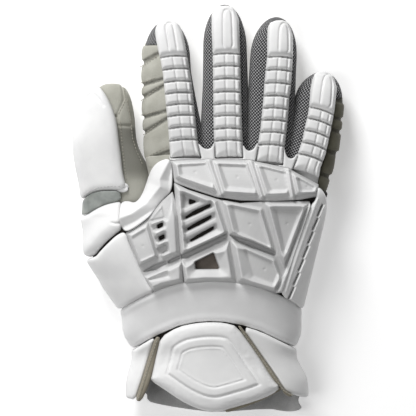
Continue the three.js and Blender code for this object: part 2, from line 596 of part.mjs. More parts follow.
const binding = (line) => [...shifted(line, -bindingHalf), ...shifted(line, bindingHalf).reverse()];
piece("cuff_shield", cuffPad(shield, SHIELD_PAD), "foam");
piece("cuff_left_flap", cuffPad(leftFlap, CUFF_PAD), "foam");
piece("cuff_right_flap", cuffPad(rightFlap, CUFF_PAD), "foam");
piece("cuff_left_binding", cuffPad(binding(BOUND_LEFT), BINDING_HEIGHT), "binding");
piece("cuff_right_binding", cuffPad(binding(BOUND_RIGHT), BINDING_HEIGHT), "binding");
piece("cuff_palm", cuffPad(CUFF_PALM, CUFF_PAD, 0, seamBottom), "lining");

// The origin is on the surface under the middle of the glove.
const box = new THREE.Box3().setFromObject(root);
const middle = box.getCenter(new THREE.Vector3());
root.position.set(-middle.x, -middle.y, -box.min.z);

export default root;
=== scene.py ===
# A padded lacrosse glove for the right hand, lying palm down with its fingers along +Y and its thumb at -X.
# Everything is worked out in millimetres of the part's frame and becomes metres as each mesh is made.
import json
import math

import bpy
import mathutils
import numpy as np
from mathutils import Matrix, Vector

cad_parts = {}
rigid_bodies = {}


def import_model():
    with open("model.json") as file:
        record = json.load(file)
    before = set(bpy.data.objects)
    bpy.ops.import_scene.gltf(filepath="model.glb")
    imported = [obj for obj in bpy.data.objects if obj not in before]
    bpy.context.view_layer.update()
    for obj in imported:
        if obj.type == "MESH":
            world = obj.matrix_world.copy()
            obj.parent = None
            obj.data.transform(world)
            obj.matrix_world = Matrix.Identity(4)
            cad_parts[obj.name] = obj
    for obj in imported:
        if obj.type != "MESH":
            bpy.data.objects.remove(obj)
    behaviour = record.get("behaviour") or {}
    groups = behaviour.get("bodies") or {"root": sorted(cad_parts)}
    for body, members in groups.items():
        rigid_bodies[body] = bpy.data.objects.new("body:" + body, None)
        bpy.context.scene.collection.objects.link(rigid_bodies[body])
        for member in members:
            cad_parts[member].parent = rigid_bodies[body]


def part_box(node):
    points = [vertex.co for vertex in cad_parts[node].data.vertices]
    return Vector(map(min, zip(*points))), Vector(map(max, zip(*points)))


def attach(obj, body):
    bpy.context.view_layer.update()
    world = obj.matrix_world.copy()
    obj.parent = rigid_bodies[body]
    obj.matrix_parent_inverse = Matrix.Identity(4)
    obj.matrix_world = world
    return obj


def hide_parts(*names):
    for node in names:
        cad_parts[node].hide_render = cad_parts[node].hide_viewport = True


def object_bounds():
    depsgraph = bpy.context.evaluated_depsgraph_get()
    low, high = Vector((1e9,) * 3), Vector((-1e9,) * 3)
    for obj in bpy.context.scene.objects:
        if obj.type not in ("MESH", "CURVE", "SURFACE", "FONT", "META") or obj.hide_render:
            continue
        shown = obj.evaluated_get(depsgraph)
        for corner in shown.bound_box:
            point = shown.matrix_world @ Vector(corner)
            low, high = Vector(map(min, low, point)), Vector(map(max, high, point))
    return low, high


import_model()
cad_box = [list(corner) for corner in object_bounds()]

# The glove lies on a plain pale table in soft studio light, and the camera looks straight down on it.
# Its long lens keeps the sides of the glove upright, as they are in the photograph.
PHOTO_SIDE = 416  # pixels
GLOVE_PIXELS = 409.8  # length of the glove in the photograph, from the cuff to the middle fingertip
ORIGIN_PIXEL = (207.4, 209.1)  # the pixel over the part's origin
LENS = 400
SENSOR = 36
pixel = (cad_box[1][1] - cad_box[0][1]) * 1000 / GLOVE_PIXELS
MIDDLE_LEVEL = 25  # height of the glove's outline, where the photograph's scale holds


def spots(points):
    """Pixels of the photograph as places on the glove seen from above, in millimetres."""
    x, y = np.array(points, float).T
    return np.stack([(x - ORIGIN_PIXEL[0]) * pixel, (ORIGIN_PIXEL[1] - y) * pixel], axis=1)


class Wire:
    """A value inside a material. Sums and products of wires add the Math nodes that work them out."""

    def __init__(self, tree, socket):
        self.tree = tree
        self.socket = socket

    def node(self, kind, settings, values, output=0):
        """A new node: its settings are set first, then its sockets from numbers, colours or wires."""
        node = self.tree.nodes.new(kind)
        for name, value in settings.items():
            setattr(node, name, value)
        for key, value in values.items():
            if isinstance(value, Wire):
                self.tree.links.new(value.socket, node.inputs[key])
            else:
                node.inputs[key].default_value = value
        return Wire(self.tree, node.outputs[output])

    def math(self, operation, *values):
        return self.node("ShaderNodeMath", {"operation": operation}, dict(enumerate(values)))

    def __add__(self, other):
        return self.math("ADD", self, other)

    __radd__ = __add__

    def __mul__(self, other):
        return self.math("MULTIPLY", self, other)

    __rmul__ = __mul__

    def __sub__(self, other):
        return self.math("SUBTRACT", self, other)

    def __rsub__(self, other):
        return self.math("SUBTRACT", other, self)

    def part(self, axis):
        """The x, y or z of a place."""
        return self.node("ShaderNodeSeparateXYZ", {}, {0: self}, axis)

    def step(self, low, high):
        """0 below low, 1 above high and a smooth slope between them."""
        settings = {"interpolation_type": "SMOOTHSTEP"}
        return self.node("ShaderNodeMapRange", settings, {"Value": self, "From Min": low, "From Max": high})

    def noise(self, size, detail=2, output=0):
        """Noise at a place, whose blots are that many millimetres wide."""
        values = {"Vector": self, "Scale": 1000 / size, "Detail": detail}
        return self.node("ShaderNodeTexNoise", {}, values, output)

    def cells(self, size, feature="F1"):
        """Distance within rounded cells of that many millimetres."""
        settings = {"feature": feature}
        return self.node("ShaderNodeTexVoronoi", settings, {"Vector": self, "Scale": 1000 / size})

    def mixed(self, first, second):
        """The first colour where this is 0, the second where it is 1."""
        settings = {"data_type": "RGBA"}
        return self.node("ShaderNodeMix", settings, {0: self, 6: first, 7: second}, 2)

    def bump(self, depth, under=None):
        """A normal raised by this height, in millimetres times depth."""
        values = {"Height": self, "Distance": depth / 1000, "Strength": 1}
        if under:
            values["Normal"] = under
        return self.node("ShaderNodeBump", {}, values)


def finish(name, roughness, specular=0.5, sheen=0.0):
    """A new material's shader, and the wire of its Object coordinates."""
    material = bpy.data.materials.new(name)
    material.use_nodes = True
    tree = material.node_tree
    shader = tree.nodes["Principled BSDF"]
    shader.inputs["Roughness"].default_value = roughness
    shader.inputs["Specular IOR Level"].default_value = specular
    shader.inputs["Sheen Weight"].default_value = sheen
    shader.inputs["Sheen Roughness"].default_value = 0.5
    place = Wire(tree, tree.nodes.new("ShaderNodeTexCoord").outputs["Object"])
    return material, shader, place


def wire_up(shader, place, **sockets):
    """Links wires to a shader's sockets."""
    for name, wire in sockets.items():
        place.tree.links.new(wire.socket, shader.inputs[name.replace("_", " ")])


table_top, shader, place = finish("table_top", 0.6, 0.2)
table_shade = place.noise(400)
wire_up(shader, place, Base_Color=table_shade.mixed((0.95, 0.95, 0.95, 1), (0.96, 0.96, 0.96, 1)))
FLOOR_GLOW = 0.36  # a light table's glow, which keeps the ground near white under soft light
shader.inputs["Emission Color"].default_value = (1, 1, 1, 1)
shader.inputs["Emission Strength"].default_value = FLOOR_GLOW
floor_mesh = bpy.data.meshes.new("table")
FLOOR_HALF = 3.0  # metres
floor_corners = [(x * FLOOR_HALF, y * FLOOR_HALF, 0) for x, y in ((-1, -1), (1, -1), (1, 1), (-1, 1))]
floor_mesh.from_pydata(floor_corners, [], [(0, 1, 2, 3)])
floor = bpy.data.objects.new("table", floor_mesh)
floor_mesh.materials.append(table_top)
bpy.context.collection.objects.link(floor)

camera = bpy.data.objects.new("camera", bpy.data.cameras.new("camera"))
camera.data.lens = LENS
camera.data.sensor_width = SENSOR
view_side = PHOTO_SIDE * pixel / 1000
middle = spots([(PHOTO_SIDE / 2, PHOTO_SIDE / 2)])[0] / 1000
camera.location = (middle[0], middle[1], view_side * LENS / SENSOR + MIDDLE_LEVEL / 1000)
bpy.context.collection.objects.link(camera)
bpy.context.scene.camera = camera

# Lights: where each stands, in metres, how wide it is and how bright.
LIGHTS = [
    {"name": "window", "place": (-0.5, 1.35, 0.85), "side": 0.6, "watts": 22},
    {"name": "top", "place": (-0.8, -0.1, 1.6), "side": 0.9, "watts": 9},
]
for row in LIGHTS:
    lamp = bpy.data.objects.new(row["name"], bpy.data.lights.new(row["name"], "AREA"))
    lamp.data.size = row["side"]
    lamp.data.energy = row["watts"]
    lamp.location = row["place"]
    aim = -lamp.location
    lamp.rotation_euler = aim.to_track_quat("-Z", "Y").to_euler()
    bpy.context.collection.objects.link(lamp)
STUDIO_GLOW = 0.17
world = bpy.data.worlds.new("studio")
world.use_nodes = True
studio = world.node_tree.nodes["Background"].inputs
studio["Color"].default_value = (1, 1, 1, 1)
studio["Strength"].default_value = STUDIO_GLOW
bpy.context.scene.world = world
bpy.context.scene.view_settings.view_transform = "Standard"

# The open glove that the armour is sewn to: a palm of grey synthetic suede and a woven back of dark brown
# cloth. Each is a wall cut to the hand's sections, and a seam along both sides joins them.
HAND_CENTRE = (21.4, -20.9)  # the middle of the hand in the part's frame, in millimetres
HAND_WIDTH = 150
HAND_LENGTH = 121
HAND_HEIGHT = 54
HAND_MIDDLE = 0.42  # widest level, as a share of the way from low to crown
LEATHER_WALL = 2.2
WALL_EDGE = 0.6  # how far the edges of a wall are rounded
CLEARANCE = 0.35
SEAM_HEIGHT = 15
TABLE_GAP = 0.05
KNUCKLES = 0.5
WRIST_END = -0.78
# A row for each section: at is a share of the hand's length, left and right of its width, low and crown
# of its height.
HAND_ROWS = np.array(
    [
        # at, left, right, low, crown, square
        (-1.19, -0.53, 0.345, 0.05, 0.97, 2.4),
        (-1.0, -0.524, 0.344, 0.04, 0.93, 2.4),
        (-0.78, -0.495, 0.285, 0.04, 0.88, 2.4),
        (-0.66, -0.555, 0.325, 0.03, 0.88, 2.4),
        (-0.5, -0.58, 0.333, 0.03, 0.92, 2.4),
        (-0.3, -0.68, 0.385, 0, 0.97, 2.4),
        (-0.05, -0.77, 0.43, 0, 1, 2.4),
        (0.12, -0.68, 0.458, 0, 1, 2.5),
        (0.22, -0.51, 0.468, 0.01, 0.99, 2.7),
        (0.34, -0.45, 0.477, 0.03, 0.95, 3.2),
        (KNUCKLES, -0.465, 0.505, 0.11, 0.82, 4),
    ]
)
SLANT = {"from": 0.05, "to": 0.44, "drop": 0.175, "bend": 1.5, "starts": -0.3}


class Block:
    """Points in a box, one pitch apart, in millimetres. x, y and z spread over it as numpy arrays do."""

    def __init__(self, low, high, pitch):
        self.low = np.array(low, float)
        self.pitch = pitch
        axes = [np.arange(a, b + pitch, pitch) for a, b in zip(low, high)]
        self.x, self.y, self.z = np.ix_(*axes)

    def flat(self, value):
        """The same value over the block's whole floor."""
        return np.full(np.broadcast(self.x, self.y).shape, value)

    def distance(self, field):
        """A field whose zero is a surface, as the distance to that surface."""
        slopes = np.gradient(field, self.pitch)
        return field / np.maximum(np.sqrt(sum(slope**2 for slope in slopes)), 1e-3)


def node_block(nodes, pitch, margin):
    """A block around some nodes of the frame."""
    corners = np.array([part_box(node) for node in nodes]) * 1000
    return Block(corners[:, 0].min(axis=0) - margin, corners[:, 1].max(axis=0) + margin, pitch)


def spline(places, values, at):
    """A smooth curve through the values of a table, held level beyond its ends."""
    slopes = np.gradient(values, places)
    at = np.clip(at, places[0], places[-1])
    k = np.clip(np.searchsorted(places, at) - 1, 0, len(places) - 2)
    width = places[k + 1] - places[k]
    t = (at - places[k]) / width
    rise = t * t * (3 - 2 * t)
    swing = t * (1 - t) ** 2 * slopes[k] - t * t * (1 - t) * slopes[k + 1]
    return values[k] * (1 - rise) + values[k + 1] * rise + swing * width


def section(x, z, left, right, low, crown, square, widest):
    """How far out a place is in a boxy oval section: 1 on its edge, less inside."""
    level = low + (crown - low) * widest
    tall = np.where(z > level, crown - level, level - low)
    across = np.abs(x - (left + right) / 2) / ((right - left) / 2)
    return (across**square + (np.abs(z - level) / tall) ** square) ** (1 / square)


def hand_row(x, y):
    """Which row of the hand a place belongs to: the rows lean with the knuckle line."""
    along = np.maximum(0,
                       ((x - HAND_CENTRE[0]) / HAND_WIDTH - SLANT["from"]) / (SLANT["to"] - SLANT["from"]))
    slant = SLANT["drop"] * along ** SLANT["bend"]
    level = (y - HAND_CENTRE[1]) / HAND_LENGTH
    span = KNUCKLES - SLANT["starts"]
    leaning = (level - slant * SLANT["starts"] / span) / (1 - slant / span)
    return np.where(level < SLANT["starts"], level, leaning)


def hand_skin(block):
    """Distance to the outside of the hand, without its ends."""
    at = hand_row(block.x, block.y)
    left, right, low, crown, square = (spline(HAND_ROWS[:, 0], HAND_ROWS[:, k], at) for k in range(1, 6))
    wide = [HAND_CENTRE[0] + side * HAND_WIDTH for side in (left, right)]
    field = section(block.x, block.z, *wide, low * HAND_HEIGHT, crown * HAND_HEIGHT, square, HAND_MIDDLE)
    return block.distance(field - 1)


def soft_max(a, b, reach):
    """Where two solids meet in both: the edge between their faces is rounded over about that reach."""
    return np.maximum(a, b) + np.maximum(reach - np.abs(a - b), 0) ** 2 / (4 * reach)


def soft_min(a, b, reach):
    """Two solids joined, with the crease between them filled over about that reach."""
    return -soft_max(-a, -b, reach)


def wall_of(outer, skin):
    """A wall of leather or cloth, from an outer face in to as far below the skin as it is thick."""
    return soft_max(outer, -(skin + LEATHER_WALL), WALL_EDGE)


def net(field, block):
    """The surface where a field is zero, facing the side where it is positive, as points and quads."""
    shape = np.array(field.shape) - 1
    total = [np.zeros(shape) for _ in range(3)]
    count = np.zeros(shape)
    crossings = []
    for axis in range(3):
        ahead = np.take(field, np.arange(1, field.shape[axis]), axis)
        here = np.take(field, np.arange(field.shape[axis] - 1), axis)
        cross = (here < 0) != (ahead < 0)
        share = np.where(cross, here / np.where(cross, here - ahead, 1), 0)
        others = [a for a in range(3) if a != axis]
        for first in (0, 1):
            for second in (0, 1):
                window = [slice(None)] * 3
                window[others[0]] = slice(first, first + shape[others[0]])
                window[others[1]] = slice(second, second + shape[others[1]])
                hit = cross[tuple(window)]
                count += hit
                total[axis] += share[tuple(window)]
                total[others[0]] += hit * first
                total[others[1]] += hit * second
        crossings.append((cross, here < 0))
    used = count > 0
    number = np.cumsum(used).reshape(shape) - 1
    cells = np.argwhere(used)
    inside = np.stack([part[used] / count[used] for part in total], axis=1)
    points = block.low + (cells + inside) * block.pitch
    quads = []
    for axis, (cross, outward) in enumerate(crossings):
        first, second = (axis + 1) % 3, (axis + 2) % 3
        where = np.argwhere(cross)
        limit = shape[[first, second]]
        keep = ((where[:, [first, second]] > 0) & (where[:, [first, second]] < limit)).all(axis=1)
        where = where[keep]
        ring = []
        for back_first, back_second in ((1, 1), (0, 1), (0, 0), (1, 0)):
            cell = where.copy()
            cell[:, first] -= back_first
            cell[:, second] -= back_second
            ring.append(number[tuple(cell.T)])
        ring = np.stack(ring, axis=1)
        flip = ~outward[tuple(where.T)]
        ring[flip] = ring[flip][:, ::-1]
        quads.append(ring)
    return points, np.concatenate(quads)


FACES_KEPT = 0.5  # share of its faces that each mesh keeps, thinned where it is smooth


def piece(name, field, block, material):
    """A named mesh object around a field's surface."""
    points, faces = net(field, block)
    mesh = bpy.data.meshes.new(name)
    mesh.from_pydata((points / 1000).tolist(), [], faces.tolist())
    made = bpy.data.objects.new(name, mesh)
    bpy.context.collection.objects.link(made)
    thinning = made.modifiers.new("thinning", "DECIMATE")
    thinning.ratio = FACES_KEPT
    made.data = bpy.data.meshes.new_from_object(made.evaluated_get(bpy.context.evaluated_depsgraph_get()))
    made.modifiers.clear()
    bpy.data.meshes.remove(mesh)
    made.data.name = name
    made.data.shade_smooth()
    made.data.materials.clear()
    made.data.materials.append(material)
    return made


def points_of(made):
    """A mesh's points, in millimetres."""
    flat = np.zeros(len(made.data.vertices) * 3)
    made.data.vertices.foreach_get("co", flat)
    return flat.reshape(-1, 3) * 1000


def place_in_glove(made, slot, *nodes, fill=None):
    """Rides a piece on the glove and hides the parts of the model that it stands for; the slot and fill given
    to it are not used.
    """
    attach(made, "root")
    if nodes:
        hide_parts(*nodes)


SHADE_STEEP = 0.6  # how level a face may be before painted shade shows on it


def set_painted_shade(made, depth):
    """Keeps, at each point of a mesh, how much painted shade it takes."""
    made.data.attributes.new("hollow", "FLOAT", "POINT").data.foreach_set("value", depth)


def paint_shade(made, block, skin, top, side=0.0):
    """Marks painted shade on each point, more the deeper it lies below the top of its pad and the further it
    turns to the side.
    """
    where = np.round((points_of(made) - block.low) / block.pitch).astype(int)
    where = np.clip(where, 0, np.array(skin.shape) - 1)
    depth = np.clip(1 - skin[tuple(where.T)] / top, 0, 1)
    facing = np.zeros(len(depth) * 3)
    made.data.vertices.foreach_get("normal", facing)
    set_painted_shade(made, np.maximum(depth, side * np.clip(1 - facing[2::3] / SHADE_STEEP, 0, 1)))
    return made


PAINTED_SHADE_LEVEL = 0.42  # brightness of the painted shade on the leather, in hollows and on faces turned to the side, as a share of its darker colour


def leather(name, dark, light, grain, depth, roughness, sheen=0.0):
    """Synthetic leather: pebbled grain, cloudy colour, and painted shade, greyer where its points are marked
    as lying in a hollow or turned to the side.
    """
    material, shader, place = finish(name, roughness, 0.35, sheen)
    cloud = place.noise(14, 4)
    pebble = place.cells(grain, "SMOOTH_F1")
    fine = place.noise(grain / 2, 3)
    tone = (cloud * 0.7 + fine * 0.3).step(0.3, 0.7)
    relief = pebble * 0.7 + fine * 0.5
    rough = roughness + (cloud - 0.5) * 0.12
    # The "hollow" mark of each point says how much painted shade the leather takes there.
    hollow = place.node("ShaderNodeAttribute", {"attribute_name": "hollow"}, {}, 2)
    painted_shade_share = (hollow + (cloud - 0.5) * 0.25).step(0.25, 1.05) * 0.8
    shade_colour = tuple(part * PAINTED_SHADE_LEVEL for part in dark[:3]) + (1,)
    colour = painted_shade_share.mixed(tone.mixed(dark, light), shade_colour)
    wire_up(shader, place, Base_Color=colour, Normal=relief.bump(depth), Roughness=rough)
    return material


palm_suede = leather("palm_suede", (0.34, 0.33, 0.3, 1), (0.42, 0.41, 0.37, 1), 0.7, 0.12, 0.85, 0.2)

back_cloth, shader, place = finish("back_cloth", 0.9, 0.2, 0.1)
CLOTH_PITCH = 1.1  # millimetres between threads
turn = 2 * math.pi * 1000 / CLOTH_PITCH
across = place.part(0) * turn
along = place.part(1) * turn
threads = across.math("SINE", across) * along.math("SINE", along)
weave = threads.step(-0.6, 0.6)
# Under the window of the armour the cloth is painted paler in a round spot: painted light, where light falls
# in through the window.
LIT_SPOT_RADIUS = 0.015
LIT_SPOT_LEVEL = 0.045
lit_spot = tuple(spots([(205, 266)])[0] / 1000) + (LIT_SPOT_LEVEL,)
away = place.node("ShaderNodeVectorMath", {"operation": "DISTANCE"}, {0: place, 1: lit_spot}, 1)
cloth = weave * 0.6 + place.noise(3) * 0.4
dark_cloth = cloth.mixed((0.012, 0.01, 0.009, 1), (0.045, 0.039, 0.034, 1))
lit_cloth = cloth.mixed((0.11, 0.092, 0.078, 1), (0.25, 0.215, 0.185, 1))
# Inside the round spot under the window the cloth takes its painted light.
cloth_colour = away.step(LIT_SPOT_RADIUS - 0.001, LIT_SPOT_RADIUS + 0.001).mixed(lit_cloth, dark_cloth)
wire_up(shader, place, Base_Color=cloth_colour, Normal=weave.bump(0.25))

block = node_block(["palm", "hand_back"], pitch=1.3, margin=5)
skin = hand_skin(block)
at = hand_row(block.x, block.y)
wall = np.maximum(wall_of(skin, skin), at * HAND_LENGTH - HAND_LENGTH / 2)
wall = np.maximum(wall, (WRIST_END - at) * HAND_LENGTH)
below = soft_max(wall, block.z - SEAM_HEIGHT + CLEARANCE / 2, WALL_EDGE)
above = soft_max(wall, SEAM_HEIGHT + CLEARANCE / 2 - block.z, WALL_EDGE)
below = np.maximum(below, TABLE_GAP - block.z)
place_in_glove(piece("palm_suede", below, block, palm_suede), "palm_leather", "palm")
place_in_glove(piece("hand_back_cloth", above, block, back_cloth), "back_fabric", "hand_back")

# The thumb's own tube, cut from stone-beige goat leather and joined to the hand by a web towards the index
# finger. A fold runs across it under the tip, and its upper edge is tucked under the shell by its side.
THUMB_HEIGHT = 34
THUMB_END = 1.01
# Shares of the hand's length and width, and of the thumb's height, as for the hand.
THUMB_ROWS = np.array(
    [
        # at, left, right, low, crown
        (-0.05, -0.72, -0.5, 0.12, 0.8),
        (0.13, -0.785, -0.47, 0.08, 0.95),
        (0.23, -0.785, -0.42, 0.05, 1),
        (0.34, -0.795, -0.437, 0.05, 1),
        (0.46, -0.815, -0.465, 0.05, 1),
        (0.6, -0.828, -0.516, 0.05, 1),
        (0.8, -0.8, -0.53, 0.03, 0.95),
        (THUMB_END, -0.78, -0.53, 0.03, 0.9),
    ]
)
THUMB_ROUND_FROM = 0.62
THUMB_SQUARE = 2.3
THUMB_CLOSING = 2.8  # how bluntly the tip closes


def thumb_skin(block):
    """Distance to the outside of the thumb, which closes round at its tip."""
    at = (block.y - HAND_CENTRE[1]) / HAND_LENGTH
    left, right, low, crown = (spline(THUMB_ROWS[:, 0], THUMB_ROWS[:, k], at) for k in range(1, 5))
    wide = [HAND_CENTRE[0] + side * HAND_WIDTH for side in (left, right)]
    ring = section(block.x, block.z, *wide, low * THUMB_HEIGHT, crown * THUMB_HEIGHT, THUMB_SQUARE, 0.5)
    closing = np.maximum(0, (at - THUMB_ROUND_FROM) / (THUMB_END - THUMB_ROUND_FROM))
    field = (ring**THUMB_CLOSING + closing**THUMB_CLOSING) ** (1 / THUMB_CLOSING)
    return np.maximum(block.distance(field - 1), (THUMB_ROWS[0, 0] - at) * HAND_LENGTH)


GLOVE_BLEND = 8  # how far the crease between the hand and the thumb is filled


def glove_skin(block):
    """Distance to the outside of the hand and the thumb together."""
    return soft_min(hand_skin(block), thumb_skin(block), GLOVE_BLEND)


def rounded(pixels, rounds, closed):
    """The corners of a line drawn over the photograph, in millimetres. Each round cuts them once."""
    corners = spots(pixels)
    for _ in range(rounds):
        after = np.roll(corners, -1, axis=0)
        cut = np.stack([corners * 0.75 + after * 0.25, corners * 0.25 + after * 0.75], axis=1).reshape(-1, 2)
        corners = cut if closed else np.concatenate([corners[:1], cut[1:-2], corners[-1:]])
    return corners


def outline(block, pixels, rounds=0):
    """Distance to a shape drawn over the photograph, below zero inside it."""
    corners = rounded(pixels, rounds, closed=True)
    inside = block.flat(False)
    for (ax, ay), (bx, by) in zip(corners, np.roll(corners, -1, axis=0)):
        if ay != by:
            level = (ay > block.y) != (by > block.y)
            inside ^= level & (block.x < (bx - ax) * (block.y - ay) / (by - ay) + ax)
    return np.where(inside, -1, 1) * line(block, pixels, rounds, closed=True)


def line(block, pixels, rounds=0, closed=False):
    """Distance to a line drawn over the photograph."""
    corners = rounded(pixels, rounds, closed)
    nearest = block.flat(np.inf)
    ends = np.roll(corners, -1, axis=0)
    for (ax, ay), (bx, by) in list(zip(corners, ends))[: None if closed else -1]:
        dx, dy = bx - ax, by - ay
        share = np.clip(((block.x - ax) * dx + (block.y - ay) * dy) / (dx * dx + dy * dy), 0, 1)
        nearest = np.minimum(nearest, (block.x - ax - share * dx) ** 2 + (block.y - ay - share * dy) ** 2)
    return np.sqrt(nearest)


def dent(distance, width, depth):
    """A rounded groove along a line."""
    return depth * np.exp(-((distance / width) ** 2))


beige_goat = leather(
    "beige_goat_leather", (0.37, 0.365, 0.315, 1), (0.49, 0.485, 0.43, 1), 1.1, 0.18, 0.72, 0.15
)
THUMB_SEAM = [(122, 86), (124, 100), (116.5, 117)]
THUMB_FOLD = [(116.5, 117), (117.5, 126), (130, 126)]
FADE_FROM = 36  # millimetres under the fold where the painted shade starts to fade
FADE_OVER = 10

block = node_block(["thumb_leather"], pitch=0.9, margin=4)
skin = thumb_skin(block)
skin = skin + dent(line(block, THUMB_SEAM), 1.0, 1.0) + dent(line(block, THUMB_FOLD), 1.3, 1.6)
wall = np.maximum(wall_of(skin, skin), CLEARANCE - hand_skin(block))
made = piece("thumb_leather_cover", wall, block, beige_goat)
# Below the fold the leather carries painted shade, darkest just under the fold and paler again further down.
below_fold = spots([(120, 125)])[0][1] - points_of(made)[:, 1]
paler = 1 - 0.5 * np.clip((below_fold - FADE_FROM) / FADE_OVER, 0, 1)
set_painted_shade(made, np.clip(below_fold / 3, 0, 1) * paler)
place_in_glove(made, "beige_leather", "thumb_leather")

# Smooth pads of soft foam under white synthetic leather, turned over a cord at their edges and sewn down:
# the thumb's shell, base and lower side, the wing from the index knuckle, and the panel by the small finger.
PAD_HEM = 5
SIDE_PAD = 5
THUMB_PAD = 6
WING_PAD = 10
white_foam = leather("white_foam_leather", (0.83, 0.83, 0.83, 1), (0.89, 0.89, 0.885, 1), 0.55, 0.05, 0.46)

# Each pad: its outline over the photograph, how far it stands out, how soft its edge is, and its creases.
SMOOTH_PADS = {
    "thumb_shell": {
        "outline": [
            (60, 205), (74, 205), (81, 201), (88, 194.5), (98, 190.5), (110, 189.8), (120, 190.5),
            (126, 186), (123.6, 178), (121.9, 168), (120.9, 156), (118.8, 141), (117, 124), (113, 110),
            (107, 97), (100.5, 88), (94, 82), (60, 82),
        ],
        "stand": THUMB_PAD, "edge": 6,
        "creases": [[(80, 112), (84, 101), (88.6, 95), (92.3, 93.5), (98.5, 97.5), (104, 106)]],
        "sunk": 0.8,
    },
    "thumb_base_pad": {
        "outline": [
            (60, 219), (86, 216), (95, 209.8), (106, 204.6), (117, 202), (121.4, 202.4), (120.2, 212),
            (119.6, 220), (123.6, 229.6), (117.3, 234), (109, 241.4), (100, 250.5), (94.8, 258),
            (60, 258),
        ],
        "stand": THUMB_PAD, "edge": 5, "creases": [[(112.5, 222.8), (117, 223.8), (121, 222.8)]],
        "rolls_over": [(94.8, 258), (109, 241.4), (124, 230)],
    },
    "thumb_side_panel": {
        "outline": [
            (60, 262), (95, 258.8), (101, 251.5), (110, 242.4), (118, 235), (125.8, 231.6), (129.5, 244),
            (136, 258), (141, 270), (147.5, 281), (155, 291), (146, 294.3), (134, 300.5), (121, 308.5),
            (60, 330),
        ],
        "stand": SIDE_PAD + 1, "edge": 3.6,
    },
    "wing": {
        "outline": [
            (170.5, 158.5), (160, 161.7), (153.5, 167.3), (149.5, 175.5), (146.7, 184.5), (143.5, 193.2),
            (139.5, 200), (134.5, 203.6), (129, 201.4), (121.6, 202.2), (120.6, 212), (120, 220),
            (124.2, 230.2), (130, 230.6), (149, 217.5), (155, 209), (163, 199), (171.5, 191.5),
            (172.5, 175),
        ],
        "stand": WING_PAD, "edge": 1.8,
    },
    "side_panel": {
        "outline": [
            (317, 187), (322, 191), (326, 199), (326, 212), (319.5, 240), (312.5, 268), (306, 296),
            (303, 310), (295, 302), (278.5, 293.5), (287, 264), (310, 206), (316, 200),
        ],
        "stand": SIDE_PAD + 2, "edge": 2,
    },
    "thumb_tab": {
        "outline": [(114.5, 183), (128.5, 183.2), (128.5, 192), (116, 192)], "stand": 2.5, "edge": 1.5,
        "creases": [[(121, 186), (130, 188.5)]],
    },
}
# Along a sharp ridge the wing turns down towards the gill plate. The last four points close the shape there.
WING_RIDGE = [
    (170, 160), (160, 179.5), (160.5, 187), (146, 204), (132, 214), (121, 218), (112, 221), (112, 245),
    (180, 205), (176, 160),
]
WING_FACE = {"width": 9, "slope": 0.7}  # how the wing falls away past its ridge
WING_BACK = {"width": 12, "slope": 0.3}  # and on the other side of it
PANEL_RIDGE = [(317, 199), (308, 224), (296, 258), (285.5, 291)]
SLITS = 7  # slashes in a row down the side panel
SLIT_ROW = np.array([(321.5, 205), (293, 287)])
SLIT_LEAN = np.array([-4.6, 10.5])
SLIT_LIP = np.array([2.6, 1])  # from a slash to its raised lip
SLIT_WIDTH = 0.7
SLIT_DEPTH = 5
RIDGE_WIDTH = 0.9
CREASE_DEPTH = 1.1
ROLL_DEPTH = 4.5  # how far a pad rolls down towards its edge, and over how many millimetres
ROLL_WIDTH = 10
SPREAD = 0.45  # how far pads press out past their sewn outlines, towards their neighbours


def pad(block, skin, plan, stand, edge, hem=PAD_HEM):
    """A pad over the skin: within an outline, so thick, with soft edges and a hem above the table."""
    over = soft_max(skin - stand, plan - SPREAD, edge)
    over = soft_max(over, hem - block.z, 1.5)
    return soft_max(over, CLEARANCE - skin, 0.5)


BILLOWED = ["thumb_shell", "thumb_base_pad", "thumb_side_panel"]
BILLOW_LIMIT = 1.3  # millimetres that the leather may rise off its foam
BILLOW_EDGE = 6  # millimetres over which it is held down to its seams
BILLOW_MESH = 2.2
BILLOW_PRESSURE = 4
BILLOW_STEPS = 20
BILLOW_NEAR = 6  # points of the coarse cloth that each point of the pad follows


